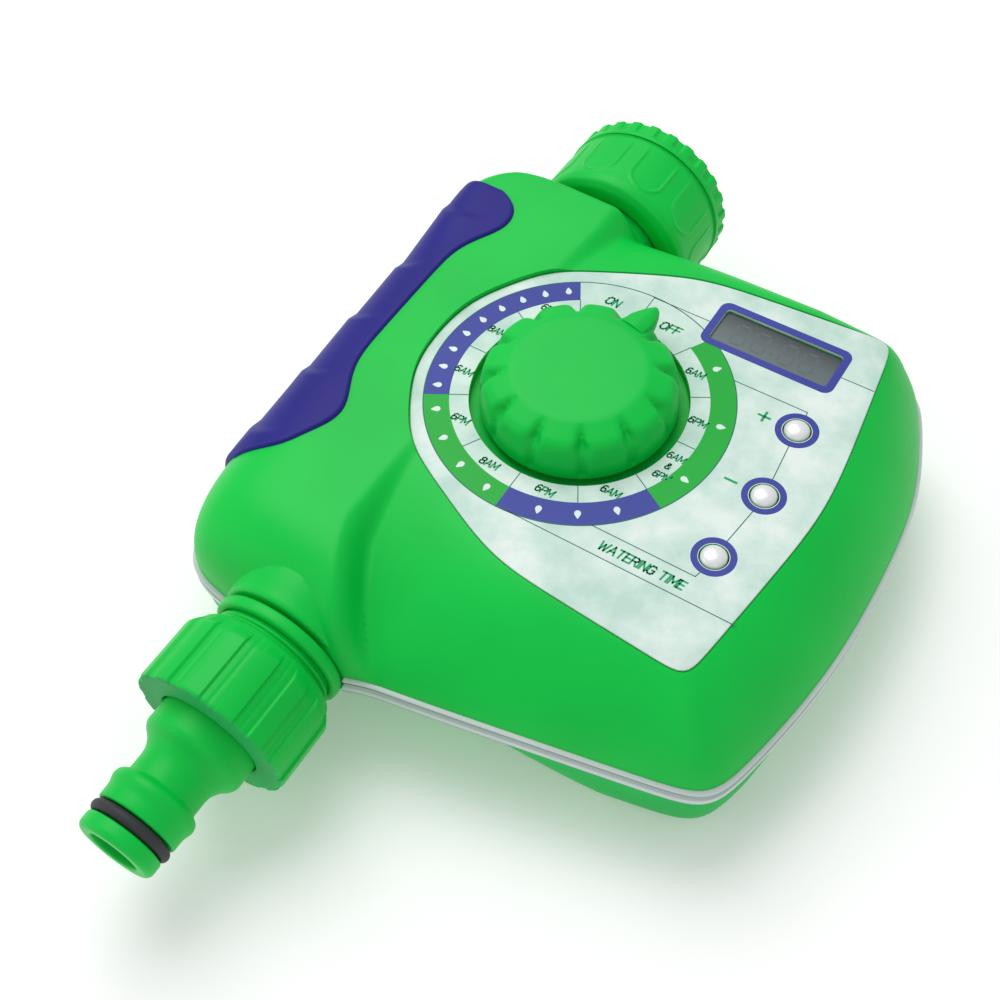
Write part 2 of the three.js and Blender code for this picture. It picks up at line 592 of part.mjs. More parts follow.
function polar([y, z], distance, angle) {
  return [y + distance * Math.cos(radians(angle)), z + distance * Math.sin(radians(angle))];
}

const meshDistance = (a, b) => GEAR_MODULE * (a + b) / 2 + CENTRE_SLACK;
const driveAt = [0, PIPE_Z];
const idlerAt = polar(driveAt, meshDistance(DRIVE_TEETH, IDLER_TEETH), IDLER_DIRECTION);
const pinionAt = polar(idlerAt, meshDistance(IDLER_TEETH, PINION_TEETH), PINION_DIRECTION);
const idlerPhase = IDLER_DIRECTION + 180 + 180 / IDLER_TEETH;
const idlerPitch = 360 / IDLER_TEETH;
const idlerLag = (((PINION_DIRECTION - idlerPhase) % idlerPitch) + idlerPitch) % idlerPitch;
const pinionPhase = PINION_DIRECTION + 180 + idlerLag * IDLER_TEETH / PINION_TEETH + 180 / PINION_TEETH;

function gearPlate() {
  const plate = box([-6.9, -5.3], [-36.5, 8], [6, 30]);
  const axle = rod('x', [0, ...idlerAt], 1.5, [GEAR_X[0] - 0.6, -5.4], 16);
  return plate.add(axle)
    .subtract(rod('x', [0, ...driveAt], 2.3, [-8, -4], 16))
    .subtract(rod('x', [0, ...pinionAt], 1.6, [-8, -4], 16));
}

const motorProfile = [[1.6, -5], [MOTOR_R, -5], [MOTOR_R, 12], [2.5, 12], [2.5, 13.2], [0, 13.2],
  [0, 11], [1.6, 11]];
add('drive_gear', gear(DRIVE_TEETH, driveAt, IDLER_DIRECTION, 2.3), WHITE_PLASTIC);
add('idler_gear', gear(IDLER_TEETH, idlerAt, idlerPhase, 1.8), WHITE_PLASTIC);
add('motor_pinion', gear(PINION_TEETH, pinionAt, pinionPhase, 1.2), BRASS);
add('motor_shaft', rod('x', [0, ...pinionAt], 0.9, [GEAR_X[0] - 0.2, 10.6], 12), STEEL);
const motorPoints = motorProfile.map(([radius, x]) => new THREE.Vector2(radius, x));
motorPoints.push(motorPoints[0]);
const motorGeometry = new THREE.LatheGeometry(motorPoints, 24).rotateZ(-Math.PI / 2);
add('drive_motor', solid(motorGeometry.translate(0, ...pinionAt)), STEEL);
add('gear_plate', gearPlate(), DARK_GREEN);

// ---- inlet side --------------------------------------------------------------------------
function inletNut() {
  const profile = [[13.8, NUT_START], [17.4, NUT_START], [18.9, NUT_START + 0.8], [19.5, NUT_START + 2.2],
    [19.5, NUT_END - 0.3], [19.2, NUT_END], [16.9, NUT_END], [16.9, NUT_START + 1.4],
    [13.8, NUT_START + 1.4]];
  return pipePiece(profile, 36);
}

function tapAdapter() {
  const profile = [[13, 74.7], [19, 74.7], [19.4, 74.3], [19.4, 69.8], [16, 69.8]];
  for (let i = 0; i < 2; i += 1) {
    const y = 68.4 - i * 2.309;
    profile.push([15.4, y + 0.7], [16.5, y + 0.15], [16.5, y - 0.15], [15.4, y - 0.7]);
  }
  profile.push([15.4, SPIGOT_END + 1.4], [10, SPIGOT_END + 1.4], [10, SPIGOT_END + 3], [13, SPIGOT_END + 3]);
  let adapter = pipePiece(profile, 36);
  for (let i = 0; i < 6; i += 1) {
    const notch = box([-1.6, 1.6], [73.2, 76], [17.6, 20]).rotate([0, i * 60 + 30, 0]);
    adapter = adapter.subtract(notch.translate(onPipe));
  }
  return adapter;
}

function inletFilter() {
  let filter = pipePiece([[0, 59.7], [12.7, 59.7], [12.7, 61.2], [9.6, 61.2], [9.6, 60.5], [0, 60.5]]);
  for (const [count, radius] of [[5, 3.4], [9, 7]]) {
    for (let i = 0; i < count; i += 1) {
      const turn = (i / count) * 2 * Math.PI;
      const at = [PIPE_X + radius * Math.cos(turn), 0, PIPE_Z + radius * Math.sin(turn)];
      filter = filter.subtract(rod('y', at, 1.3, [50, 70], 6));
    }
  }
  return filter;
}

add('inlet_nut', inletNut(), GREEN);
add('tap_adapter', tapAdapter(), GREEN);
add('inlet_washer', ring('y', onPipe, [8.6, 14.6], [SPIGOT_END + 0.3, SPIGOT_END + 1.1], 28), RUBBER);
add('inlet_filter', inletFilter(), WHITE_PLASTIC);

// ---- outlet side -------------------------------------------------------------------------
function outletNut(ribs = 14) {
  const profile = [[13.5, -73.4], [14.3, -73.4], [15.7, -76.4], [15.7, -89.6], [15.3, -90], [10.5, -90],
    [10.5, -86.9], [13.5, -86.9]];
  let nut = pipePiece(profile, 28);
  for (let i = 0; i < ribs; i += 1) {
    const rib = box([-1.7, 1.7], [-90, -76.6], [14.9, 16.2]).rotate([0, i * 360 / ribs, 0]);
    nut = nut.add(rib.translate(onPipe));
  }
  return nut;
}

function hoseNipple() {
  return pipePiece([[12.9, -85.2], [12.9, -86.6], [10.2, -86.6], [10.2, -94.4], [9.7, -95.1],
    [8.2, -96.6], [7.3, -98.3], [7.1, -99.8], [7.1, -103.1], [8.4, -103.9], [8.8, -105.2],
    [8.2, -107.2], [8.1, -109.7], [5.9, -109.7], [5.9, -112.5], [7.9, -112.5], [7.9, -114.9],
    [7.2, -115.7], [5, -115.7], [5, -98], [7.5, -90], [7.5, -85.2]], 24);
}

add('outlet_nut', outletNut(), GREEN);
add('outlet_washer', ring('y', onPipe, [7.6, 12.7], [-84.9, -83.9], 28), RUBBER);
add('hose_nipple', hoseNipple(), GREEN);
add('nipple_oring', oRing('y', onPipe, 7.2, 1.15, -111.1, 24), RUBBER);

// ---- battery bay -------------------------------------------------------------------------
function batteryTray() {
  const { x, y, z, wall } = TRAY;
  const inner = box([x[0] + wall, x[1] - wall], [y[0] + wall, y[1] - wall], [z[0] - 1, z[1] - wall]);
  const lug = box([28, 36], [y[0] - 5.5, y[0] + 0.5], [z[0], 12]);
  return box(x, y, z).subtract(inner).add(lug)
    .subtract(rod('z', [32, y[0] - 3, 0], 1.5, [0, 10.5], 12));
}

function batteryCover() {
  const plate = box([HATCH.x[0] + GAP, HATCH.x[1] - GAP], [HATCH.y[0] + GAP, HATCH.y[1] - GAP], [0.2, WALL]);
  return plate.subtract(rod('z', [32, TRAY.y[0] - 3, 0], 3, [-1, 1.5], 16))
    .subtract(rod('z', [32, TRAY.y[0] - 3, 0], 1.7, [-1, 5], 12));
}

function contact(x, side, wide) {
  const plate = box([x - wide / 2, x + wide / 2], [side * 29 - 0.3, side * 29 + 0.3], [5, 16.5]);
  return plate;
}

add('battery_tray', batteryTray(), BLACK);
CELL_X.forEach((x, i) => {
  const way = i ? -1 : 1;
  const cell = [[0, -CELL_HALF], [CELL_R - 0.4, -CELL_HALF], [CELL_R, -CELL_HALF + 0.5],
    [CELL_R, CELL_HALF - 0.9], [CELL_R - 0.5, CELL_HALF - 0.4], [2.6, CELL_HALF - 0.4],
    [2.6, CELL_HALF + 0.8], [0, CELL_HALF + 0.8]];
  const profile = cell.map(([radius, y]) => [radius, way * y]);
  add(`battery_${i + 1}`, turned('y', [x, 0, CELL_Z], profile, 20), CELL_GREY);
});
add('contact_link', contact(32, 1, 28).add(rod('y', [CELL_X[1], 0, CELL_Z], 3, [25.2, 28.9], 12)), STEEL);
add('contact_spring', contact(CELL_X[0], -1, 12).add(rod('y', [CELL_X[0], 0, CELL_Z], 3, [-28.9, -25.2], 12)),
  STEEL);
add('contact_plate', contact(CELL_X[1], -1, 12).add(rod('y', [CELL_X[1], 0, CELL_Z], 2, [-28.9, -25.9], 12)),
  STEEL);
function sealBox(edge, z) {
  const { x, y } = TRAY;
  return box([x[0] + edge, x[1] - edge], [y[0] + edge, y[1] - edge], z);
}
add('battery_seal', sealBox(0, [2.7, 3.4]).subtract(sealBox(TRAY.wall, [2, 4])), RUBBER);
add('battery_cover', batteryCover(), GREEN);
add('cover_screw', turned('z', [32, TRAY.y[0] - 3, 0],
  [[0, 0.4], [2.7, 0.4], [2.7, 1.2], [1.2, 1.2], [1.2, 9], [0, 9.6]], 12), STEEL);

export default timer;
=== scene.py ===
"""Looks for a hose-end drip irrigation timer that lies on its back.

Shapes are worked out in millimetres in the frame's axes: the origin is on the dial axis at the
back face, +Z leaves the dial and +Y runs along the water pipe towards the tap.
"""
import json
import math

import bpy
import bmesh
import numpy as np
from mathutils import Matrix, Vector


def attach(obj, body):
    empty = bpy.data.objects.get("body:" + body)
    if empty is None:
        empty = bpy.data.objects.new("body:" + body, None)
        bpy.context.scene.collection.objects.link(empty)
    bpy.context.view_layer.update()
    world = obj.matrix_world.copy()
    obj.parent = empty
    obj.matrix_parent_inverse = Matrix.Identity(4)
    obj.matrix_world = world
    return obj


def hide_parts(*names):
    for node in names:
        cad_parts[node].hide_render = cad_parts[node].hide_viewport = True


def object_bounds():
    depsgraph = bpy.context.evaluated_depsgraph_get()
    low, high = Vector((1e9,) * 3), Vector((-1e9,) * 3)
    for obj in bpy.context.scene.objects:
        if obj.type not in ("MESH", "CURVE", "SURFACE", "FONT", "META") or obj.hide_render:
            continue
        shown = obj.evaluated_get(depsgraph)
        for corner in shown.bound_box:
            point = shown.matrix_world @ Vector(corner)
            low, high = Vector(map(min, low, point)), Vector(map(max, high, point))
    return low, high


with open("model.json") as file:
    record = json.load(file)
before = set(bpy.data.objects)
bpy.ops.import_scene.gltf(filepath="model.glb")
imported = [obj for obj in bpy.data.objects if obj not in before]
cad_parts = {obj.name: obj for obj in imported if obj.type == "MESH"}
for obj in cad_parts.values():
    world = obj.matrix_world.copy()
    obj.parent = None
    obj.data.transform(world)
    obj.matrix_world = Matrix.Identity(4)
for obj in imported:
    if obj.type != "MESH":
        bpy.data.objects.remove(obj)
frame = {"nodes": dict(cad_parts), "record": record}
cad_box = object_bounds()

MM = 0.001
TAU = 2 * math.pi
TINY = 1e-6
SHARP = 38.0  # faces that meet at less than this many degrees shade smoothly

# ---- driving dimensions, millimetres ----------------------------------------------------------
WALL = 2.4
SEAL_BOTTOM = 17.0
SEAL_PROUD = 0.8
SEAL_TOP = 22.0
LABEL_TOP = 39.0
PLATEAU = 39.2
BARREL_TOP = 39.8
# Each side of an outline is the direction it faces, in degrees, and its distance.
OUTLINE = [(-151.2, 75.2), (-98.6, 71.1), (-78.8, 64.1), (-13.6, 69.6), (2.1, 65.6),
           (24, 68.9), (88, 51), (129.3, 69.1), (180, 55.9)]
CORNER = 2.5
LABEL_HALF = [(7.9, 52.2), (94.2, 40), (116.7, 33.7), (147.6, 33.1), (172.3, 33.6)]
LABEL_SIDES = LABEL_HALF + [(-angle, reach) for angle, reach in LABEL_HALF]
LABEL_CORNER = 1.5
LABEL_SEAT_GAP, LABEL_SEAT_DEEP = 0.25, 0.6
SHELL_CENTRE_X = 4.0
LABEL_CENTRE_X = 10.0

# The shells' surfaces. A pair here says where a fade starts and over what length it climbs.
FLARE, FLARE_CENTRE, FLARE_WIDE, FLARE_Y = 1.4, -13.0, 5.5, (-40, -15)
BODY_CROWN = 1.35
INLET_CROWN, INLET_CROWN_X, INLET_CROWN_Y = 0.9, (50, -20), (25, 20)
LABEL_MARGIN, MARGIN_PER_WALL = 1.0, 0.6
BARREL_CROWN = 2.3
BARREL_RIGHT = -12.5
BARREL_FLANK = 10.0
BARREL_BLEND = 2.0
END_ROUND, END_LEAN = 16.0, 0.05
INLET_SHARPER, INLET_SHARPER_Y = 12.5, (15, 33)
OUTLET_SPREAD, OUTLET_SPREAD_Y, SPREAD_POWER = 9.0, (-46, -20), 1.3
INLET_SPREAD, INLET_SPREAD_Y = 2.0, (20, 20)
REAR_CROWN, REAR_CROWN_DROP = 2.6, 1.4
REAR_ROUND = 9.0
REAR_TAPER = 4.0
OUTLET_TAPER_Y, OUTLET_TAPER_X, PIPE_TAPER_X = (-25, -15), (38, -20), (-34, 12)
KEY_TAPER, KEY_TAPER_X, KEY_TAPER_LOW, KEY_TAPER_HIGH = 0.6, (35, 10), (-42, 12), (30, -10)

PIPE_X = -24.0
PIPE_Z = 22.0
PIPE_AT = (PIPE_X, 0, PIPE_Z)
PIPE_R = 13.5
NECK_R = 11.5
NECK_START = -44.0
COLLAR_R = 13.8
COLLAR_START = -68.0
SLEEVE_GAP = 0.8
SLEEVE_START = -57.0
SLEEVE_FLANK = [(14.9, -59.5), (14.6, -62.5), (14.2, -65)]
BOSS_END = -70.4
THREAD_END = -83.6
THREAD_PITCH = 1.814
NUT_START = 52.5
NUT_END = 69.4
SPIGOT_END = 56.4

WELL_R = 21.6
WELL_FLOOR = 36.4
WELL_HOLE_R, WELL_RIM_R = 3.5, 23.8
WELL_LOW, WELL_HIGH = 34.2, 38.3
KNOB_R = 19.5
KNOB_BOTTOM = 37.8
KNOB_TOP = 48.0
AXIS_R = 0.02  # the small hole that a turned piece leaves on its axis
SCALLOPS = 12
POINTER_ANGLE = 77.0

LCD_X, LCD_Y, LCD_WIDE, LCD_DEEP = 27.1, 30.9, 25.5, 9.0
WINDOW_CORNER = 0.8
PANEL_GAP = 0.05
BUTTONS = {"plus": (39.8, 13.9), "minus": (41.2, -3.0), "set": (39.5, -19.6)}
BUTTON_R = 2.5
GAP = 0.3

RING_IN, RING_OUT = 25.4, 30.5
HATCH_X, HATCH_Y = (13.0, 51.0), (-37.5, 33.0)
SCREWS = [(47, 38), (51, -43.5), (6, 40.5), (6, -45.5), (-45, 38.5), (-45, -51)]
COVER_SCREW = (32.0, -34.0)
SCREW_HOLE_R = 3.2

# Heights that a cutting tool spans, and a place past the housing's outlet end.
FACE_TOOL = (30.0, 45.0)
BACK_TOOL = (-1.0, WALL + 1)
PAST_OUTLET = -90.0


# ---- materials --------------------------------------------------------------------------------
def material(name, color, roughness, metallic=0.0, coat=0.0, specular=0.5):
    """A Principled material with its even values on the shader's own sockets."""
    made = bpy.data.materials.new(name)
    made.use_nodes = True
    shader = made.node_tree.nodes["Principled BSDF"]
    shader.inputs["Base Color"].default_value = (*color, 1)
    shader.inputs["Roughness"].default_value = roughness
    shader.inputs["Metallic"].default_value = metallic
    shader.inputs["Coat Weight"].default_value = coat
    shader.inputs["Specular IOR Level"].default_value = specular
    return made


def node(made, kind, **inputs):
    new = made.node_tree.nodes.new(kind)
    for name, value in inputs.items():
        new.inputs[name.replace("_", " ")].default_value = value
    return new


def link(made, source, target):
    made.node_tree.links.new(source, target)


def noise(made, scale, detail=3.0, roughness=0.5):
    """3-D noise in the object's own metres, so it doesn't depend on a UV map."""
    place = node(made, "ShaderNodeTexCoord")
    grain = node(made, "ShaderNodeTexNoise", Scale=scale, Detail=detail, Roughness=roughness)
    link(made, place.outputs["Object"], grain.inputs["Vector"])
    return grain.outputs["Fac"]


def ramp(made, value, stops):
    """A colour ramp of (position, colour) stops."""
    new = made.node_tree.nodes.new("ShaderNodeValToRGB")
    elements = new.color_ramp.elements
    while len(elements) < len(stops):
        elements.new(0.5)
    for element, (position, color) in zip(elements, stops):
        element.position = position
        element.color = (*color, 1)
    link(made, value, new.inputs["Fac"])
    return new.outputs["Color"]


def paint(made, value, stops):
    shader = made.node_tree.nodes["Principled BSDF"]
    link(made, ramp(made, value, stops), shader.inputs["Base Color"])


def relief(made, value, strength, distance):
    shader = made.node_tree.nodes["Principled BSDF"]
    bump = node(made, "ShaderNodeBump", Strength=strength, Distance=distance)
    link(made, value, bump.inputs["Height"])
    link(made, bump.outputs["Normal"], shader.inputs["Normal"])


TONE_SCALE = 35.0
GRAIN_DEEP, FINE_GRAIN_DEEP = 0.0002, 0.0001


def moulded(name, color, roughness, scale=900.0, strength=0.05, coat=0.0, spread=0.05,
            specular=0.4):
    """Plastic with a faint moulding grain and a very slight shift of tone."""
    made = material(name, color, roughness, coat=coat, specular=specular)
    light = tuple(min(1.0, c * (1 + spread)) for c in color)
    dark = tuple(c * (1 - spread) for c in color)
    paint(made, noise(made, TONE_SCALE, 2.0), [(0.35, dark), (0.65, light)])
    relief(made, noise(made, scale), strength, GRAIN_DEEP)
    return made


GREEN_TONE = (0.0003, 0.56, 0.060)
GREEN = moulded("green_plastic", GREEN_TONE, 0.42, specular=0.22)
REAR_GREEN = moulded("green_plastic_grained", (0.001, 0.50, 0.075), 0.5, 1500.0, 0.35,
                     spread=0.12, specular=0.2)
ROUGH_GREEN = moulded("green_plastic_rough", (0.02, 0.46, 0.11), 0.6, 1800.0, 0.6,
                      spread=0.25, specular=0.25)
BLUE = moulded("blue_grip", (0.016, 0.013, 0.215), 0.5, 1600.0, 0.12, specular=0.22)
WHITE = moulded("white_plastic", (0.78, 0.78, 0.75), 0.4)
BLACK = moulded("black_plastic", (0.02, 0.021, 0.022), 0.45)
RUBBER = moulded("black_rubber", (0.028, 0.030, 0.033), 0.6, 1200.0, 0.15)
BATTERY = moulded("cell_wrap", (0.25, 0.27, 0.30), 0.3, coat=0.4)
BOARD = moulded("circuit_board", (0.02, 0.12, 0.04), 0.4, coat=0.3)
PLATE = moulded("gear_plate_green", (0.01, 0.30, 0.07), 0.45)
SEAL = moulded("clear_seal", (0.60, 0.68, 0.66), 0.30, coat=0.2)
# painted shade: a darker colour for the seal's recessed lower step and groove, where shade falls
SEAL_GROOVE_SHADE = moulded("seal_groove_painted_shade", (0.16, 0.28, 0.27), 0.38)
STEEL = material("bright_steel", (0.55, 0.56, 0.58), 0.28, metallic=1.0)
relief(STEEL, noise(STEEL, 2500.0), 0.06, FINE_GRAIN_DEEP)
BRASS = material("turned_brass", (0.70, 0.50, 0.16), 0.3, metallic=1.0)
relief(BRASS, noise(BRASS, 1800.0), 0.05, FINE_GRAIN_DEEP)
SILVER = material("silver_key", (0.86, 0.87, 0.88), 0.34, metallic=0.25)
relief(SILVER, noise(SILVER, 1500.0), 0.03, FINE_GRAIN_DEEP)

LABEL = material("printed_film", (0.64, 0.80, 0.73), 0.42, specular=0.25)
paint(LABEL, noise(LABEL, 85.0, 5.0, 0.65),
      [(0.36, (0.50, 0.70, 0.62)), (0.52, (0.64, 0.80, 0.73)), (0.66, (0.78, 0.87, 0.83))])


def ink(name, color):
    return moulded(name, color, 0.42, 1200.0, 0.02, spread=0.04, specular=0.25)


INK_BLUE = ink("ink_blue", (0.040, 0.055, 0.34))
INK_GREEN = ink("ink_green", (0.003, 0.42, 0.035))
INK_TEXT = ink("ink_text_green", (0.004, 0.36, 0.13))
INK_LINE = ink("ink_line", (0.008, 0.15, 0.11))
INK_WHITE = ink("ink_white", (0.74, 0.84, 0.82))

DISPLAY = material("display_panel", (0.10, 0.13, 0.15), 0.22, coat=0.6)
DISPLAY_DARK = material("display_segments", (0.092, 0.121, 0.131), 0.25, coat=0.7)
relief(DISPLAY_DARK, noise(DISPLAY_DARK, 700.0), 0.01, FINE_GRAIN_DEEP)


# ---- mesh building ----------------------------------------------------------------------------
WELD = 1e-7  # metres
LONGEST_ROUND = 0.45  # of the shorter side, so that two rounded corners never meet


def build(name, points, faces, mats, face_mats=None, sharp=SHARP):
    """An object from points in millimetres; faces flatter than `sharp` degrees shade smoothly."""
    mesh = bpy.data.meshes.new(name)
    mesh.from_pydata([tuple(p) for p in np.asarray(points, float) * MM], [], faces)
    for mat in mats if isinstance(mats, list) else [mats]:
        mesh.materials.append(mat)
    if face_mats is not None:
        mesh.polygons.foreach_set("material_index", face_mats)
    tidy = bmesh.new()
    tidy.from_mesh(mesh)
    bmesh.ops.remove_doubles(tidy, verts=tidy.verts, dist=WELD)
    bmesh.ops.recalc_face_normals(tidy, faces=tidy.faces)
    tidy.to_mesh(mesh)
    tidy.free()
    smooth(mesh, sharp)
    piece = bpy.data.objects.new(name, mesh)
    bpy.context.scene.collection.objects.link(piece)
    return piece


def smooth(mesh, sharp):
    mesh.shade_smooth()
    mesh.set_sharp_from_angle(angle=math.radians(sharp))


def loft(name, rows, mats, wrap_rows=False, row_mats=None, sharp=SHARP):
    """Quads over rows of points. Each row is a closed loop; the first and last rows are filled,
    or joined to one another with wrap_rows."""
    rows = np.asarray(rows)
    count, columns = rows.shape[:2]
    faces, marks = [], []
    for i in range(count if wrap_rows else count - 1):
        k = (i + 1) % count
        for j in range(columns):
            n = (j + 1) % columns
            faces.append((i * columns + j, i * columns + n, k * columns + n, k * columns + j))
            marks.append(row_mats[i] if row_mats else 0)
    if not wrap_rows:
        faces.append(tuple(range(columns))[::-1])
        faces.append(tuple((count - 1) * columns + j for j in range(columns)))
        marks += [row_mats[0], row_mats[-1]] if row_mats else [0, 0]
    return build(name, rows.reshape(-1, 3), faces, mats, marks, sharp)


def rounded(profile, radius, steps=4, closed=True):
    """The corners of a [radius, height] profile rounded by short curves."""
    made = []
    count = len(profile)
    for i, corner in enumerate(profile):
        corner = np.array(corner, float)
        if not closed and i in (0, count - 1):
            made.append(corner)
            continue
        before = np.array(profile[i - 1], float) - corner
        after = np.array(profile[(i + 1) % count], float) - corner
        reach = min(radius, LONGEST_ROUND * np.linalg.norm(before), LONGEST_ROUND * np.linalg.norm(after))
        start = corner + before / np.linalg.norm(before) * reach
        end = corner + after / np.linalg.norm(after) * reach
        for t in np.linspace(0, 1, steps):
            made.append((1 - t) ** 2 * start + 2 * t * (1 - t) * corner + t * t * end)
    return np.array(made)


def dense(profile, step, closed=True):
    """Extra points along a profile, no further apart than `step`."""
    made = []
    count = len(profile)
    for i in range(count if closed else count - 1):
        a, b = profile[i], profile[(i + 1) % count]
        parts = max(1, int(math.ceil(np.linalg.norm(np.subtract(b, a)) / step)))
        made += [np.add(a, np.subtract(b, a) * k / parts) for k in range(parts)]
    if not closed:
        made.append(profile[-1])
    return np.array(made)


def turn_rows(profile, axis, at, segments, shape=None):
    """Rows of points for a [radius, height] profile turned about an axis through `at`.
    shape(radius, height, turn) may move each radius."""
    turn = np.arange(segments) * TAU / segments
    rows = []
    for radius, height in profile:
        reach = np.full(segments, radius) if shape is None else shape(radius, height, turn)
        across, up = reach * np.cos(turn), reach * np.sin(turn)
        along = np.full(segments, height)
        order = {"z": (across, up, along), "y": (across, along, up), "x": (along, across, up)}
        rows.append(np.stack(order[axis], 1) + np.array(at, float))
    return rows


def turned(name, profile, axis, at, mats, segments=128, shape=None, sharp=SHARP, row_mats=None):
    """A ring-like solid: the profile is closed and stays clear of the axis."""
    rows = turn_rows(profile, axis, at, segments, shape)
    return loft(name, rows, mats, wrap_rows=True, row_mats=row_mats, sharp=sharp)


def prism_parts(points, low, high):
    """Points and faces of an upright prism over an outline."""
    count = len(points)
    solid = [(x, y, low) for x, y in points] + [(x, y, high) for x, y in points]
    faces = [tuple(range(count))[::-1], tuple(range(count, 2 * count))]
    faces += [(i, (i + 1) % count, count + (i + 1) % count, count + i) for i in range(count)]
    return solid, faces


def prism(name, points, low, high, mats):
    return build(name, *prism_parts(points, low, high), mats)


def merged(name, parts, mats):
    """One object from several (points, faces) parts."""
    points, faces = [], []
    for more, sides in parts:
        faces += [tuple(i + len(points) for i in side) for side in sides]
        points += list(more)
    return build(name, points, faces, mats)


def combine(piece, tool, operation="DIFFERENCE"):
    """Cuts `tool` from a piece, or joins it on, and keeps the resulting mesh."""
    change = piece.modifiers.new("combine", "BOOLEAN")
    change.operation, change.object, change.solver = operation, tool, "MANIFOLD"
    bpy.context.view_layer.update()
    result = piece.evaluated_get(bpy.context.evaluated_depsgraph_get())
    mesh = bpy.data.meshes.new_from_object(result)
    piece.modifiers.clear()
    old = piece.data
    piece.data = mesh
    bpy.data.meshes.remove(old)
    smooth(mesh, SHARP)
    bpy.data.objects.remove(tool)
    return piece


def circle(x, y, radius, count=96):
    turn = np.arange(count) * TAU / count
    return [(x + radius * math.cos(a), y + radius * math.sin(a)) for a in turn]


def rectangle(x0, x1, y0, y1, radius=0.0, steps=6):
    """A rectangle's outline with rounded corners."""
    if radius == 0:
        return [(x0, y0), (x1, y0), (x1, y1), (x0, y1)]
    made = []
    corners = [(x1, y0, -90), (x1, y1, 0), (x0, y1, 90), (x0, y0, 180)]
    for x, y, start in corners:
        cx = x - math.copysign(radius, x - (x0 + x1) / 2)
        cy = y - math.copysign(radius, y - (y0 + y1) / 2)
        for k in range(steps + 1):
            a = math.radians(start + 90 * k / steps)
            made.append((cx + radius * math.cos(a), cy + radius * math.sin(a)))
    return made


def cylinder(axis, at, radius, low, high, segments):
    """A plain round solid, used as a cutting tool."""
    rows = turn_rows([(radius, low), (radius, high)], axis, at, segments)
    return loft("tool", rows, GREEN)


# ---- outlines and shell surfaces --------------------------------------------------------------
def inset(sides, corner, x, y):
    """How far a point lies inside a rounded outline."""
    total = 0
    for angle, reach in sides:
        a = math.radians(angle)
        total = total + np.exp(-(reach - x * math.cos(a) - y * math.sin(a)) / corner)
    return -corner * np.log(total)


def unit(value):
    return np.clip(value, 0, 1)


def fade(value, start, length):
    """Climbs from 0 at `start` to 1 after `length`, or backwards if the length is negative."""
    return unit((value - start) / length)


def bell(value, centre, wide):
    return np.exp(-((value - centre) / wide) ** 2)


def housing_inset(x, y):
    """The housing's outline also flares a little beside the outlet boss."""
    flare = FLARE * bell(x, FLARE_CENTRE, FLARE_WIDE) * fade(y, *FLARE_Y)
    return inset(OUTLINE, CORNER, x, y) + flare


def label_inset(x, y):
    return inset(LABEL_SIDES, LABEL_CORNER, x, y)


FARTHEST_RIM = 110.0
HALVINGS = 34


def rim_radius(inset_at, centre_x, turn, depth):
    """Distance from a centre on the X axis to the line `depth` inside the outline."""
    low, high = np.zeros_like(turn), np.full_like(turn, FARTHEST_RIM)
    for _ in range(HALVINGS):
        middle = (low + high) / 2
        inside = inset_at(centre_x + middle * np.cos(turn), middle * np.sin(turn)) > depth
        low, high = np.where(inside, middle, low), np.where(inside, high, middle)
    return low


def outline(inset_at, centre_x, depth, count):
    turn = np.arange(count) * TAU / count
    radius = rim_radius(inset_at, centre_x, turn, depth)
    return list(zip(centre_x + radius * np.cos(turn), radius * np.sin(turn)))


def housing_outline(depth):
    return outline(housing_inset, SHELL_CENTRE_X, depth, 480)


def label_outline(depth):
    return outline(label_inset, LABEL_CENTRE_X, depth, 360)


def crown(t, power):
    """A rounded shoulder that climbs from 0 at the rim to 1."""
    return (1 - (1 - np.minimum(1, t)) ** power) ** (1 / power)


def smooth_max(a, b, blend):
    overlap = np.maximum(blend - np.abs(a - b), 0) / np.maximum(blend, TINY)
    return np.maximum(a, b) + overlap * overlap * blend / 4


def front_height(x, y, wall):
    """Height of the front shell, `wall` inside its outer surface."""
    edge = np.maximum(0, housing_inset(x, y) - wall)
    beyond = np.maximum(0, LABEL_MARGIN + MARGIN_PER_WALL * wall - label_inset(x, y))
    fullness = BODY_CROWN + INLET_CROWN * fade(y, *INLET_CROWN_Y) * fade(x, *INLET_CROWN_X)
    body = (PLATEAU - wall - SEAL_TOP) * crown(edge / (edge + beyond + TINY), fullness)
    end_round = END_ROUND - END_LEAN * np.minimum(0, y) - INLET_SHARPER * fade(y, *INLET_SHARPER_Y)
    foot = (BARREL_RIGHT + OUTLET_SPREAD * fade(y, *OUTLET_SPREAD_Y) ** SPREAD_POWER
            + INLET_SPREAD * fade(y, *INLET_SPREAD_Y) - wall)
    climb = np.sin(fade(x, foot, -BARREL_FLANK) * math.pi / 2)
    barrel = (BARREL_TOP - wall - SEAL_TOP) * climb * crown(edge / end_round, BARREL_CROWN)
    return SEAL_TOP + smooth_max(body, barrel, np.minimum(BARREL_BLEND, edge))


def rear_height(x, y, wall):
    """Height of the rear shell, `wall` inside its outer surface, with softer corners where it tapers."""
    edge = np.maximum(0, housing_inset(x, y) - wall)
    outlet_side = fade(y, *OUTLET_TAPER_Y) * fade(x, *OUTLET_TAPER_X) * fade(x, *PIPE_TAPER_X)
    key_side = KEY_TAPER * fade(x, *KEY_TAPER_X) * fade(y, *KEY_TAPER_LOW) * fade(y, *KEY_TAPER_HIGH)
    taper = np.maximum(outlet_side, key_side)
    shoulder = crown(edge / (REAR_ROUND + REAR_TAPER * taper), REAR_CROWN - REAR_CROWN_DROP * taper)
    return SEAL_BOTTOM - (SEAL_BOTTOM - wall) * shoulder


SHELL_COLUMNS = 420
RING_CROWDING = 2.1  # above 1, the rings crowd towards the rim
CENTRE_SHARE = 1e-4


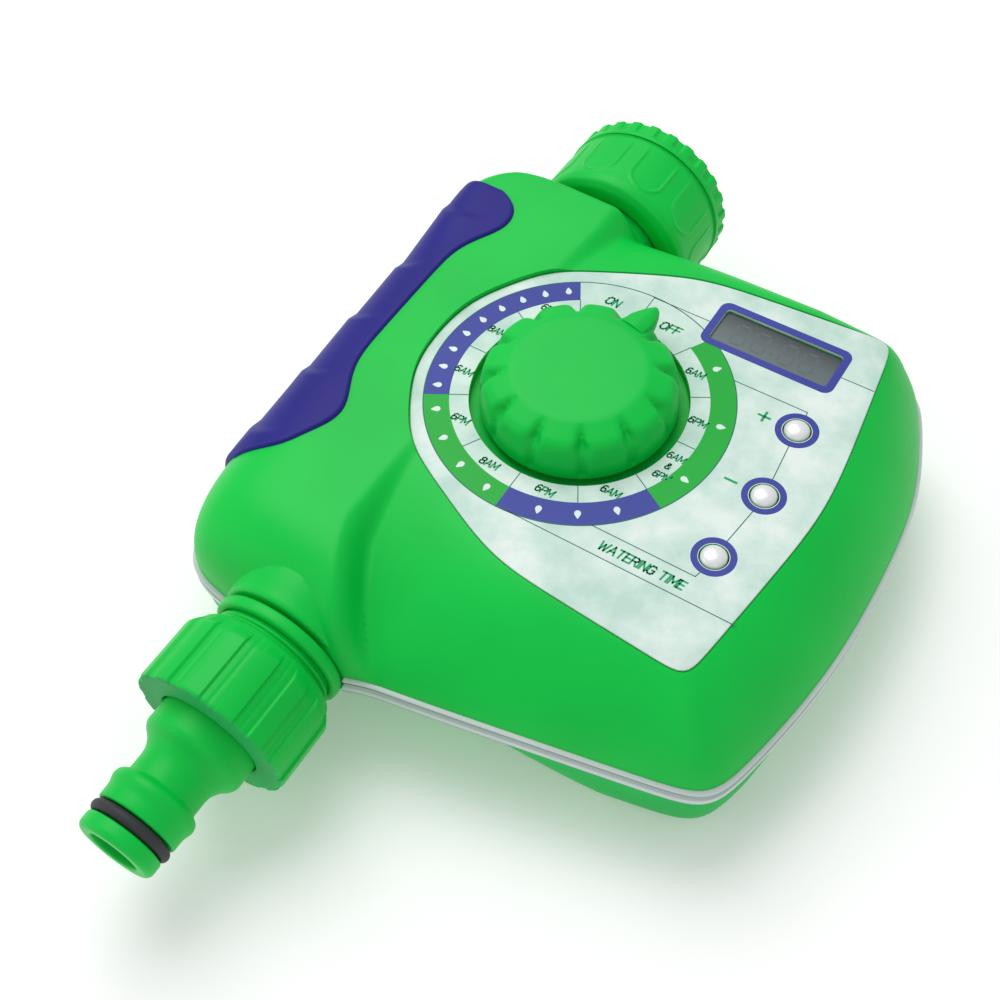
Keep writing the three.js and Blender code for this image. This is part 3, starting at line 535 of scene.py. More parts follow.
def dished_shell(name, height, mats, rings):
    """A dished shell between a height surface and the same surface WALL inside it."""
    turn = np.arange(SHELL_COLUMNS) * TAU / SHELL_COLUMNS
    rows = []
    for wall in (0.0, WALL):
        rim = rim_radius(housing_inset, SHELL_CENTRE_X, turn, wall)
        layer = []
        for ring in range(rings + 1):
            radius = rim * max(1 - (ring / rings) ** RING_CROWDING, CENTRE_SHARE)
            x, y = SHELL_CENTRE_X + radius * np.cos(turn), radius * np.sin(turn)
            layer.append(np.stack([x, y, height(x, y, wall)], 1))
        rows += layer[::-1] if wall == 0 else layer
    return loft(name, rows, mats)


# ---- housing ----------------------------------------------------------------------------------
def cut_pipe_tunnel(piece):
    """The room that the water pipe takes in the housing."""
    stretches = [(PIPE_R, NECK_START - GAP, 90), (NECK_R, PAST_OUTLET, 0),
                 (COLLAR_R, PAST_OUTLET, COLLAR_START + GAP)]
    for radius, low, high in stretches:
        combine(piece, cylinder("y", PIPE_AT, radius + GAP, low, high, 160))
    return piece


def outlet_sleeve():
    """The front shell narrows to the outlet collar."""
    tip = COLLAR_START + SLEEVE_GAP
    profile = [(NECK_R - 1, SLEEVE_START), *SLEEVE_FLANK, (COLLAR_R + 0.2, tip), (NECK_R - 1, tip)]
    sleeve = turned("tool", rounded(profile, 1.0, 6), "y", PIPE_AT, GREEN, 192)
    return combine(sleeve, prism("tool", rectangle(-60, 0, PAST_OUTLET, -40), 0, SEAL_TOP, GREEN))


def display_outline(grow, radius):
    """The display opening's outline, moved outwards by `grow`."""
    half_x, half_y = LCD_WIDE / 2 + grow, LCD_DEEP / 2 + grow
    return rectangle(LCD_X - half_x, LCD_X + half_x, LCD_Y - half_y, LCD_Y + half_y, radius)


def cut_face_openings(piece, mat):
    """The dial's well, the display opening and the three key holes."""
    combine(piece, cylinder("z", (0, 0, 0), WELL_R, *FACE_TOOL, 192))
    combine(piece, prism("tool", display_outline(0, WINDOW_CORNER), *FACE_TOOL, mat))
    for x, y in BUTTONS.values():
        combine(piece, cylinder("z", (x, y, 0), BUTTON_R + GAP, *FACE_TOOL, 64))
    return piece


def front_shell():
    shell = dished_shell("shell_front", front_height, GREEN, 120)
    seat = label_outline(-LABEL_SEAT_GAP)
    combine(shell, prism("tool", seat, LABEL_TOP - LABEL_SEAT_DEEP, FACE_TOOL[1], GREEN))
    cut_face_openings(shell, GREEN)
    combine(shell, outlet_sleeve(), "UNION")
    return cut_pipe_tunnel(shell)


def rear_shell():
    shell = dished_shell("shell_rear", rear_height, REAR_GREEN, 70)
    opening = rectangle(*HATCH_X, *HATCH_Y, 2.0)
    combine(shell, prism("tool", opening, *BACK_TOOL, GREEN))
    for x, y in SCREWS:
        combine(shell, cylinder("z", (x, y, 0), SCREW_HOLE_R, *BACK_TOOL, 48))
    return cut_pipe_tunnel(shell)


# The seal's section: how far it stands in from its lip, its height, and whether painted shade darkens it
# there (its recessed lower step and its groove).
SEAL_SECTION = [(0.5, 17.05, 1), (0.3, 17.3, 1), (0.3, 17.9, 1), (0.05, 18.1, 0), (0.05, 19.4, 0),
                (0.2, 19.55, 0), (0.6, 19.8, 1), (0.6, 21.0, 1), (0.1, 21.3, 0), (0, 21.5, 0),
                (0.1, 21.8, 0), (0.4, 21.95, 0)]
SEAL_INNER = 4.2


def seal_band():
    """The clear seal between the shells, with painted shade darkening its recessed lower step and its
    groove.
    """
    levels = [(z, step - SEAL_PROUD) for step, z, _ in SEAL_SECTION]
    levels = [(levels[0][0], SEAL_INNER), *levels, (levels[-1][0], SEAL_INNER)]
    marks = [0, *(dark for _, _, dark in SEAL_SECTION), 0]
    rows = [[(x, min(y, NUT_START - GAP), z) for x, y in housing_outline(depth)] for z, depth in levels]
    # the marked rows take the painted shade colour on the recessed step and groove
    band = loft("seal_band", rows, [SEAL, SEAL_GROOVE_SHADE], wrap_rows=True, row_mats=marks)
    return cut_pipe_tunnel(band)


shell_front = front_shell()
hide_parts("front_housing")
shell_rear = rear_shell()
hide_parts("rear_housing")
seal = seal_band()
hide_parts("seal_left", "seal_right")

well = turned("dial_well", rounded([(WELL_HOLE_R, WELL_LOW), (WELL_RIM_R, WELL_LOW),
                                    (WELL_RIM_R, WELL_HIGH), (WELL_R + 0.02, WELL_HIGH),
                                    (WELL_R + 0.02, WELL_FLOOR), (WELL_HOLE_R, WELL_FLOOR)], 0.25),
              "z", (0, 0, 0), GREEN, 192)


# ---- soft grip --------------------------------------------------------------------------------
GRIP_LOW, GRIP_HIGH = -44.8, 40.8
GRIP_ROWS, GRIP_COLUMNS = 230, 64
GRIP_CROWDING = 1.7  # above 1, the columns crowd towards the housing's rim
GRIP_EDGE_X = -42.6
GRIP_SWELLS = [(5.6, -28, 9), (5.8, 33, 9), (-12, -47.5, 5), (-12, 45, 4)]  # height, centre, width
GRIP_ROUND, GRIP_PROUD, GRIP_SUNK, GRIP_THICK = 1.1, 0.95, 0.25, 0.8
LEAF_LONG, LEAF_RISE, LEAF_DEEP = 17.0, 0.88, 0.6
SLOPE_STEP = 0.05


def grip_edge(y):
    """Inner edge of the grip: a band that swells near its two ends and closes at them."""
    edge = GRIP_EDGE_X
    for swell, centre, wide in GRIP_SWELLS:
        edge = edge + swell * bell(y, centre, wide)
    return edge


def grip():
    """The pad follows the shell; its edge is rounded and overlapping leaf shapes stand out."""
    y = np.linspace(GRIP_LOW, GRIP_HIGH, GRIP_ROWS)[:, None] + np.zeros(GRIP_COLUMNS)[None, :]
    share = np.linspace(0, 1, GRIP_COLUMNS)[None, :]
    across = 1 - (1 - share) ** GRIP_CROWDING
    inner = grip_edge(y)
    turn = np.arctan2(y[:, 0], -50 - SHELL_CENTRE_X)
    for _ in range(3):
        rim = SHELL_CENTRE_X + rim_radius(housing_inset, SHELL_CENTRE_X, turn, 0.02) * np.cos(turn)
        turn = np.arctan2(y[:, 0], rim - SHELL_CENTRE_X)
    x = inner + (rim[:, None] - inner) * across
    step = SLOPE_STEP
    slope_x = (front_height(x + step, y, 0) - front_height(x - step, y, 0)) / (2 * step)
    slope_y = (front_height(x, y + step, 0) - front_height(x, y - step, 0)) / (2 * step)
    length = np.sqrt(slope_x ** 2 + slope_y ** 2 + 1)
    normal = np.stack([-slope_x, -slope_y, np.ones_like(x)], -1) / length[..., None]
    base = np.stack([x, y, front_height(x, y, 0)], -1)
    to_inner = x - inner
    to_ends = np.minimum(y - GRIP_LOW, GRIP_HIGH - y)
    border = np.minimum(np.minimum(np.abs(to_inner), to_ends), base[..., 2] - SEAL_TOP - GAP)
    shoulder = np.sqrt(1 - (1 - unit(border / GRIP_ROUND)) ** 2)
    phase = (y - 10 * share ** 1.5 + 6 * np.sin(share * math.pi)) / LEAF_LONG
    leaf = phase - np.floor(phase)
    leaf = np.where(leaf < LEAF_RISE, leaf / LEAF_RISE, (1 - leaf) / (1 - LEAF_RISE))
    inside = fade(share, 0.12, 0.3) * fade(share, 0.97, -0.4)
    lift = GRIP_PROUD * shoulder - GRIP_SUNK + LEAF_DEEP * shoulder * leaf * inside
    top = base + normal * lift[..., None]
    top[..., 2] = np.maximum(top[..., 2], SEAL_TOP + 0.25)
    bottom = base - normal * GRIP_THICK
    bottom[..., 2] = np.maximum(bottom[..., 2], SEAL_TOP + 0.2)
    loops = [np.concatenate([top[i], bottom[i][::-1]]) for i in range(GRIP_ROWS)]
    return loft("grip", loops, BLUE, sharp=50)


pad = grip()
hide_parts("grip_pad")


# ---- printed label ----------------------------------------------------------------------------
def label_plate():
    """The printed film; its section says how far it lies inside the outline and below the top."""
    section = [(0.12, 0.55), (0.0, 0.45), (0.0, 0.12), (0.14, 0.0)]
    rows = [[(x, y, LABEL_TOP - below) for x, y in label_outline(depth)] for depth, below in section]
    return cut_face_openings(loft("label_film", rows, LABEL), LABEL)


film = label_plate()
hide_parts("face_label")

# Each print starts inside the film and stands out by its own height, so that none share a face.
INK_LOW = LABEL_TOP - 0.03
BAND_TOP = LABEL_TOP + 0.02
DROP_TOP = LABEL_TOP + 0.03
LINE_TOP = LABEL_TOP + 0.035
FRAME_TOP = LABEL_TOP + 0.045
FRAME_WIDE, FRAME_CORNER = 1.6, 2.0
LINE_WIDE = 0.17
SIGN_WIDE = 0.5
KEY_RING_IN, KEY_RING_OUT = 2.95, 4.2
DROP_SIZE, DROP_REACH, DROP_SLIM, DROP_TIP = 0.68, 27.8, 0.92, 0.75
DEGREES_A_SIDE = 2


def sector(start, end):
    """Part of the dial's printed ring, between two angles."""
    turn = np.radians(np.linspace(start, end, (end - start) // DEGREES_A_SIDE + 1))
    points = [(RING_OUT * math.cos(a), RING_OUT * math.sin(a)) for a in turn]
    points += [(RING_IN * math.cos(a), RING_IN * math.sin(a)) for a in turn[::-1]]
    return prism_parts(points, INK_LOW, BAND_TOP)


def stroke(a, b, width):
    """A straight printed line."""
    a, b = np.array(a, float), np.array(b, float)
    along = (b - a) / np.linalg.norm(b - a)
    side = np.array([-along[1], along[0]]) * width / 2
    a, b = a - along * width / 2, b + along * width / 2
    return prism_parts([a - side, b - side, b + side, a + side], INK_LOW, LINE_TOP)


def spoke(angle, inner, outer):
    a = math.radians(angle)
    way = np.array([math.cos(a), math.sin(a)])
    return stroke(way * inner, way * outer, LINE_WIDE)


def drop(angle):
    """A water drop on the ring, its tip pointing outwards."""
    a = math.radians(angle)
    points = []
    for k in range(24):
        t = TAU * k / 24
        u = DROP_REACH + DROP_SIZE * (1 + DROP_TIP * max(0.0, math.cos(t)) ** 6) * math.cos(t)
        v = DROP_SIZE * DROP_SLIM * math.sin(t)
        points.append((u * math.cos(a) - v * math.sin(a), u * math.sin(a) + v * math.cos(a)))
    return prism_parts(points, INK_LOW, DROP_TOP)


def band_parts(inner, outer, top):
    """A closed printed band between two loops with the same number of points."""
    count = len(inner)
    points, faces = [], []
    for loop, z in [(inner, INK_LOW), (outer, INK_LOW), (outer, top), (inner, top)]:
        points += [(x, y, z) for x, y in loop]
    for k in range(4):
        for i in range(count):
            n, m = (i + 1) % count, (k + 1) % 4
            faces.append((k * count + i, k * count + n, m * count + n, m * count + i))
    return points, faces


def ring_parts(x, y, inner, outer, top, count=64):
    return band_parts(circle(x, y, inner, count), circle(x, y, outer, count), top)


# Letters as lines on a grid whose capitals are 6 tall; the last value is the width.
GLYPHS = {
    "A": ([[(0, 0), (2.1, 6), (4.2, 0)], [(0.7, 2), (3.5, 2)]], 4.2),
    "E": ([[(3.2, 6), (0, 6), (0, 0), (3.2, 0)], [(0, 3.1), (2.8, 3.1)]], 3.2),
    "F": ([[(3.2, 6), (0, 6), (0, 0)], [(0, 3.1), (2.8, 3.1)]], 3.2),
    "G": ([[(3.8, 5), (2.9, 6), (1.2, 6), (0, 4.8), (0, 1.2), (1.2, 0), (2.8, 0), (3.8, 1), (3.8, 2.8),
            (2.3, 2.8)]], 3.8),
    "I": ([[(0, 0), (0, 6)]], 0.2),
    "M": ([[(0, 0), (0, 6), (2.3, 1.6), (4.6, 6), (4.6, 0)]], 4.6),
    "N": ([[(0, 0), (0, 6), (3.6, 0), (3.6, 6)]], 3.6),
    "O": ([[(1.2, 0), (0, 1.3), (0, 4.7), (1.2, 6), (2.8, 6), (4, 4.7), (4, 1.3), (2.8, 0), (1.2, 0)]], 4),
    "P": ([[(0, 0), (0, 6), (2.5, 6), (3.6, 5.2), (3.6, 3.6), (2.5, 2.8), (0, 2.8)]], 3.6),
    "R": ([[(0, 0), (0, 6), (2.5, 6), (3.6, 5.2), (3.6, 3.8), (2.5, 3), (0, 3)], [(2, 3), (3.8, 0)]], 3.7),
    "T": ([[(0, 6), (4, 6)], [(2, 6), (2, 0)]], 4),
    "W": ([[(0, 6), (1.3, 0), (2.7, 4.6), (4.1, 0), (5.4, 6)]], 5.4),
    "6": ([[(3.2, 5.6), (2.4, 6), (1.3, 6), (0.2, 4.8), (0, 2.2), (0.5, 0.5), (1.4, 0), (2.4, 0), (3.4, 0.9),
            (3.4, 2.5), (2.5, 3.4), (1.2, 3.4), (0.1, 2.5)]], 3.4),
    "8": ([[(1.1, 3.2), (0.2, 4.1), (0.2, 5.2), (1.1, 6), (2.4, 6), (3.3, 5.2), (3.3, 4.1), (2.4, 3.2),
            (1.1, 3.2), (0, 2.2), (0, 0.9), (1, 0), (2.5, 0), (3.5, 0.9), (3.5, 2.2), (2.4, 3.2)]], 3.5),
    "&": ([[(3.9, 0), (0.9, 4.2), (0.9, 5.3), (1.6, 6), (2.4, 5.8), (2.8, 5), (2.4, 4.1), (0.5, 2.7),
            (0, 1.6), (0.6, 0.3), (1.8, 0), (3, 0.8), (3.9, 2.5)]], 3.9),
    " ": ([], 1.6),
}
CAPITAL = 6
LETTER_GAP = 1.25
SLANT = 0.2
WEIGHT = 0.2  # line width, as a share of the height


def lettering(text, x, y, height):
    """Slanted lettering centred at (x, y) on the label, with capitals `height` tall."""
    size = height / CAPITAL
    start = -(sum(GLYPHS[letter][1] for letter in text) + LETTER_GAP * (len(text) - 1)) / 2
    strokes = []
    for letter in text:
        lines, width = GLYPHS[letter]
        for line in lines:
            spots = [(x + size * (start + u + SLANT * (v - CAPITAL / 2)), y + size * (v - CAPITAL / 2))
                     for u, v in line]
            strokes += [stroke(a, b, WEIGHT * height) for a, b in zip(spots, spots[1:])]
        start += width + LETTER_GAP
    return strokes


blue_parts = [sector(120, 210), sector(270, 330),
              band_parts(display_outline(0, WINDOW_CORNER), display_outline(FRAME_WIDE, FRAME_CORNER),
                         FRAME_TOP)]
blue_parts += [ring_parts(x, y, KEY_RING_IN, KEY_RING_OUT, BAND_TOP) for x, y in BUTTONS.values()]
green_parts = [sector(210, 270), sector(330, 420)]

drops = [125 + 10 * k for k in range(9)] + [217.5 + 15 * k for k in range(4)]
drops += [285, 300, 315, 345, 375, 405]
white_parts = [drop(angle) for angle in drops]

line_parts = [spoke(angle, WELL_R + 0.1, RING_OUT if angle == 90 else RING_IN)
              for angle in range(0, 360, 30)]
line_parts += [ring_parts(0, 0, RING_OUT - 0.1, RING_OUT + 0.1, LINE_TOP, 160)]
line_parts += [stroke(a, b, LINE_WIDE) for a, b in [
    ((0.0, 30.3), (LCD_X - 14.3, 30.3)), ((LCD_X + 14.3, 30.2), (48.3, 30.2)),
    ((24.0, 18.9), (39.6, 18.9)), ((39.6, 18.9), (39.7, 18.2)),
    ((40.1, 9.7), (40.9, 1.3)), ((41.0, -7.2), (40.0, -15.4)),
    ((17.4, -25.0), (38.6, -25.0)), ((38.6, -25.0), (38.9, -23.8)),
    ((0.0, -30.3), (49.2, -30.3))]]

# The plus and the minus beside the keys; the plus has its upright in two parts.
text_parts = [stroke(a, b, SIGN_WIDE) for a, b in [
    ((31.9, 13.8), (34.1, 13.8)), ((33.0, 12.7), (33.0, 13.5)), ((33.0, 14.1), (33.0, 14.9)),
    ((33.3, -3.0), (35.5, -3.0))]]
HOUR_REACH, HOUR_TALL = 23.6, 1.5
for angle, words in [(45, "6AM"), (15, "6PM"), (315, "6AM"), (285, "6PM"), (255, "8AM"), (225, "6PM"),
                     (195, "6AM"), (165, "8AM"), (135, "6PM")]:
    a = math.radians(angle)
    text_parts += lettering(words, HOUR_REACH * math.cos(a), HOUR_REACH * math.sin(a), HOUR_TALL)
for words, x, y, height in [("6AM", 23.3, -3.5, 1.4), ("&", 23.0, -6.1, 1.4), ("6PM", 23.0, -8.7, 1.4),
                            ("ON", -6.6, 25.0, 1.9), ("OFF", 6.9, 24.6, 1.9),
                            ("WATERING TIME", 29.4, -27.8, 1.8)]:
    text_parts += lettering(words, x, y, height)

prints = [merged("print_blue", blue_parts, INK_BLUE), merged("print_green", green_parts, INK_GREEN),
          merged("print_drops", white_parts, INK_WHITE), merged("print_lines", line_parts, INK_LINE),
          merged("print_words", text_parts, INK_TEXT)]


# ---- dial knob --------------------------------------------------------------------------------
KNOB_SEGMENTS = 432
KNOB_HOLE_R, KNOB_HOLLOW_DEEP = 3.3, 3.0
KNOB_FLAT_R = 10.9
SCALLOP_PITCH = 360 / SCALLOPS
GROOVE_DEEP, GROOVE_WIDE, GROOVE_START = 0.75, 1.0, 0.12
HOLLOW_DEEP, HOLLOW_WIDE, HOLLOW_CLIMB, HOLLOW_TALL = 1.35, 1.5, 0.76, 0.14
LEAN_START, LEAN = 0.55, 0.75


def knob():
    """A dished round knob; each scallop is a groove that ends in a hollow at the upper rim."""
    outside = rounded([(KNOB_R - 0.6, KNOB_BOTTOM), (KNOB_R, KNOB_BOTTOM + 0.3),
                       (KNOB_R - 0.15, KNOB_BOTTOM + 4.4), (KNOB_R - 1.2, KNOB_TOP - 1.9),
                       (13.2, KNOB_TOP - 0.05), (11.0, KNOB_TOP)], 1.6, 8, False)
    outside = dense(outside, 0.3, False)
    inside = [(AXIS_R, KNOB_TOP), (AXIS_R, KNOB_TOP - KNOB_HOLLOW_DEEP),
              (KNOB_HOLE_R, KNOB_TOP - KNOB_HOLLOW_DEEP), (KNOB_HOLE_R, KNOB_BOTTOM)]
    profile = np.concatenate([outside, inside])
    turn = np.arange(KNOB_SEGMENTS) * TAU / KNOB_SEGMENTS
    local = (np.degrees(turn) - POINTER_ANGLE - SCALLOP_PITCH / 2) % SCALLOP_PITCH
    away = np.radians(np.minimum(local, SCALLOP_PITCH - local)) * KNOB_R
    rows = []
    for radius, height in profile:
        climb = (height - KNOB_BOTTOM) / (KNOB_TOP - KNOB_BOTTOM)
        groove = GROOVE_DEEP * bell(away, 0, GROOVE_WIDE) * min(1, climb / GROOVE_START)
        hollow = HOLLOW_DEEP * bell(climb, HOLLOW_CLIMB, HOLLOW_TALL) * bell(away, 0, HOLLOW_WIDE)
        smooth_part = radius < KNOB_FLAT_R or height < KNOB_BOTTOM + 0.25
        dip = (groove + hollow) * (0 if smooth_part else fade(radius, 13.6, 3.0))
        lean = LEAN * fade(climb, LEAN_START, 1 - LEAN_START)
        reach = radius - dip * math.sqrt(1 - lean * lean * 0.5)
        rows.append(np.stack([reach * np.cos(turn), reach * np.sin(turn), height - dip * lean * 0.6], 1))
    return loft("knob", rows, GREEN, wrap_rows=True, sharp=55)


dial_knob = knob()
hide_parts("selector_knob")


# The pointer's sections: reach, half width, low and high.
POINTER = [(14.6, 2.7, 45.2, 47.55), (17.4, 2.6, 43.8, 47.35), (19.6, 1.9, 44.2, 47.1),
           (21.4, 1.1, 44.8, 46.9), (22.0, 0.7, 45.2, 46.6)]


def pointer():
    """A small wedge at the knob's rim that marks the setting."""
    a = math.radians(POINTER_ANGLE)
    rows = []
    for reach, half, low, high in POINTER:
        corners = [(-half, low), (half, low), (half, high - 0.3), (half - 0.3, high), (0.35, high + 0.25),
                   (0, high + 0.3), (-0.35, high + 0.25), (-half + 0.3, high), (-half, high - 0.3)]
        rows.append([(reach * math.cos(a) - v * math.sin(a), reach * math.sin(a) + v * math.cos(a), z)
                     for v, z in corners])
    return loft("knob_pointer", rows, GREEN, sharp=50)


knob_pointer = pointer()

# ---- display and keys -------------------------------------------------------------------------
GLASS_LOW, GLASS_TOP = 36.9, LABEL_TOP - 0.75
panel = prism("display", display_outline(-PANEL_GAP, 0.75), GLASS_LOW, GLASS_TOP, DISPLAY)
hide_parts("lcd_window")


def paint_display_light_and_shade():
    """Painted light and shade on the panel: painted shade darkens its far edge, and a painted lighter tone
    brightens it towards the near one.
    """
    place = node(DISPLAY, "ShaderNodeTexCoord")
    split = node(DISPLAY, "ShaderNodeSeparateXYZ")
    level = node(DISPLAY, "ShaderNodeMapRange")
    level.inputs["From Min"].default_value = (LCD_Y - LCD_DEEP / 2 + PANEL_GAP) * MM
    level.inputs["From Max"].default_value = (LCD_Y + LCD_DEEP / 2 - PANEL_GAP) * MM
    link(DISPLAY, place.outputs["Object"], split.inputs["Vector"])
    link(DISPLAY, split.outputs["Y"], level.inputs["Value"])
    # painted shade along the far edge, painted light towards the near edge
    paint(DISPLAY, level.outputs["Result"],
          [(0.0, (0.13, 0.165, 0.175)), (0.45, (0.105, 0.135, 0.145)), (0.9, (0.05, 0.065, 0.07))])


paint_display_light_and_shade()


DIGIT_WIDE, DIGIT_TALL, BAR, BAR_GAP = 2.7, 5.2, 0.5, 0.35
INK_SPAN = (GLASS_TOP - 0.05, GLASS_TOP + 0.02)


def digit(x, y):
    """The seven faint segments of one display digit."""
    flat, upright = DIGIT_WIDE / 2 - BAR_GAP, DIGIT_TALL / 4 - BAR_GAP
    bars = [rectangle(x - flat, x + flat, y + level * DIGIT_TALL - BAR / 2,
                      y + level * DIGIT_TALL + BAR / 2) for level in (-0.5, 0, 0.5)]
    for side in (-0.5, 0.5):
        for level in (-0.25, 0.25):
            cx, cy = x + side * DIGIT_WIDE, y + level * DIGIT_TALL
            bars.append(rectangle(cx - BAR / 2, cx + BAR / 2, cy - upright, cy + upright))
    return [prism_parts(bar, *INK_SPAN) for bar in bars]


segments = []
for x in (-7.6, -3.2, 2.8, 7.2):
    segments += digit(LCD_X + x, LCD_Y - 0.2)
for y in (-1.4, 1.0):
    segments.append(prism_parts(circle(LCD_X - 0.2, LCD_Y + y, 0.35, 16), *INK_SPAN))
ghost = merged("display_digits", segments, DISPLAY_DARK)

DOME_TALL, DOME_BASE = 1.25, LABEL_TOP - 0.1
KEY_PROFILE = [(AXIS_R, LABEL_TOP + 1.15)] + [
    (BUTTON_R * math.sin(math.radians(a)), DOME_BASE + DOME_TALL * math.cos(math.radians(a)))
    for a in range(12, 90, 6)]
KEY_PROFILE += [(BUTTON_R, DOME_BASE), (BUTTON_R, 35.8), (3.45, 35.8), (3.45, 34.05), (1.6, 34.05),
                (1.6, 32), (AXIS_R, 32)]
keys = {}
for name, (x, y) in BUTTONS.items():
    keys[name] = turned(f"key_{name}", KEY_PROFILE, "z", (x, y, 0), SILVER, 64)
    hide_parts(f"button_{name}")

# ---- outlet side ------------------------------------------------------------------------------


THREAD_START = BOSS_END - 0.4
THREAD_ROOT_R, THREAD_DEEP = 12.2, 0.95
BORE_R, SEAT_R = 6.2, 10.2
SEAT_Y, SHOULDER_Y = -10.2, -14.3


def thread(radius, y, turn):
    """Right-handed ridges on the tailpiece, run out at both ends."""
    if radius < 11 or not THREAD_END < y < THREAD_START:
        return np.full_like(turn, radius)
    phase = (y / THREAD_PITCH - turn / TAU) % 1
    ridge = unit(1.25 - 2.9 * np.abs(phase - 0.5))
    run_out = min(1, (THREAD_START - y) / 1.2, (y - THREAD_END) / 1.5)
    return radius + THREAD_DEEP * ridge * run_out


def tailpiece():
    body = [(BORE_R, SEAT_Y), (SEAT_R, SEAT_Y), (SEAT_R, SHOULDER_Y), (PIPE_R, SHOULDER_Y),
            (PIPE_R, NECK_START), (NECK_R, NECK_START), (NECK_R, COLLAR_START), (COLLAR_R, COLLAR_START),
            (COLLAR_R, BOSS_END), (THREAD_ROOT_R, BOSS_END - 0.3)]
    threaded = dense([(THREAD_ROOT_R, BOSS_END - 0.5), (THREAD_ROOT_R, THREAD_END + 0.2)], 0.12, False)
    ends = [(THREAD_ROOT_R, THREAD_END), (8, THREAD_END), (BORE_R, THREAD_END + 6)]
    profile = np.concatenate([rounded(body, 0.7), threaded, np.array(ends)])
    return turned("tailpiece", profile, "y", PIPE_AT, GREEN, 192, thread, sharp=60)


outlet_pipe = tailpiece()
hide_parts("valve_tailpiece")

NUT_RIBS, NUT_RIB_TALL, NUT_VALLEY_DEEP = 14, 0.5, 0.12
NUT_SECTION = [(13.5, -73.3), (14.2, -73.3), (15.75, -76.6), (15.75, -89.4), (15.35, -89.95),
               (10.5, -89.95), (10.5, -86.9), (13.5, -86.9)]
NUT_FACE_Y, NUT_FACE_R = -89.5, 10.6


def nut_ribs(radius, y, turn):
    """Flat wide ribs around the outlet nut."""
    if radius < 14.5:
        return np.full_like(turn, radius)
    edge = np.abs((turn * NUT_RIBS / TAU) % 1 - 0.5)
    rib, valley = fade(edge, 0.27, -0.035), fade(edge, 0.42, 0.08)
    return radius + NUT_RIB_TALL * rib * fade(radius, 14.6, 0.9) - NUT_VALLEY_DEEP * valley


def outlet_nut():
    """The nut, rough where its end face was cut."""
    profile = dense(rounded(NUT_SECTION, 0.4), 0.5)
    marks = [1 if y < NUT_FACE_Y and radius > NUT_FACE_R else 0 for radius, y in profile]
    return turned("nut_outlet", profile, "y", PIPE_AT, [GREEN, ROUGH_GREEN], 560, nut_ribs, 30, marks)


nut_outlet = outlet_nut()
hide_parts("outlet_nut")

NIPPLE = [(12.9, -85.2), (12.9, -86.6), (10.2, -86.6), (10.2, -94.4), (9.7, -95.3), (8.2, -96.7),
          (7.3, -98.3), (7.1, -99.8), (7.1, -103.0), (8.5, -103.9), (8.8, -105.2), (8.2, -106.9),
          (8.15, -109.75), (5.9, -109.75), (5.9, -112.45), (7.9, -112.45), (7.9, -114.9), (7.2, -115.7),
          (5, -115.7), (5, -98), (7.5, -90), (7.5, -85.2)]
nipple = turned("nipple", rounded(NIPPLE, 0.55, 5), "y", PIPE_AT, GREEN, 128, sharp=45)
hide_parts("hose_nipple")

RING_R, RING_Y, RING_THICK_R = 7.2, -111.1, 1.13
ring = turned("nipple_ring", circle(RING_R, RING_Y, RING_THICK_R, 24), "y", PIPE_AT, RUBBER, 128)
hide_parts("nipple_oring")

# ---- inlet side -------------------------------------------------------------------------------
PETALS = 10
PETAL_HALF = 4.0
PETAL_CENTRE = 60.2
PETAL_TALL, PETAL_WIDE = 0.28, 0.34
BAND_DEEP = 0.3


def petals(radius, y, turn):
    """Raised petal outlines on the inlet nut, open towards the tap."""
    if radius < 18.5 or y > NUT_END - 0.5 or y < NUT_START + 1.5:
        return np.full_like(turn, radius)
    pitch = TAU / PETALS
    across = ((turn + pitch / 2) % pitch - pitch / 2) * radius
    away = np.abs(np.hypot(across, min(y - PETAL_CENTRE, 0)) - PETAL_HALF)
    run_out = min(1, (NUT_END - 0.8 - y) / 3.0)
    return radius + PETAL_TALL * bell(away, 0, PETAL_WIDE) * run_out - BAND_DEEP


def inlet_nut():
    profile = rounded([(13.9, NUT_START), (17.2, NUT_START), (18.9, NUT_START + 0.8),
                       (19.5, NUT_START + 2.6), (19.5, NUT_END), (16.9, NUT_END),
                       (16.9, NUT_START + 1.4), (13.9, NUT_START + 1.4)], 0.5, 6)
    return turned("nut_inlet", dense(profile, 0.28), "y", PIPE_AT, GREEN, 600, petals, 45)


nut_inlet = inlet_nut()
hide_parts("inlet_nut")

RIM_NOTCHES, NOTCH_START, NOTCH_DEEP = 26, 71.0, 0.5
COLLAR_SECTION = [(13, 74.7), (19.1, 74.7), (19.4, 74.3), (19.4, 69.8), (16, 69.8), (15.4, 69.2),
                  (15.4, SPIGOT_END + 1.4), (10, SPIGOT_END + 1.4), (10, SPIGOT_END + 3),
                  (13, SPIGOT_END + 3)]


def crenels(radius, y, turn):
    """Shallow notches round the tap adapter's rim."""
    if radius < 18.6 or y < NOTCH_START:
        return np.full_like(turn, radius)
    notch = fade(np.abs((turn * RIM_NOTCHES / TAU) % 1 - 0.5), 0.2, 0.12)
    return radius - NOTCH_DEEP * notch * min(1, (y - NOTCH_START) / 0.6)


def adapter():
    profile = dense(rounded(COLLAR_SECTION, 0.3), 0.4)
    return turned("tap_collar", profile, "y", PIPE_AT, GREEN, 512, crenels, 32)


tap_collar = adapter()
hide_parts("tap_adapter")


# ---- back: screws and battery cover -------------------------------------------------------------
SHANK_R = 1.3
CROSS_HALF, CROSS_ARM = 0.25, 1.6


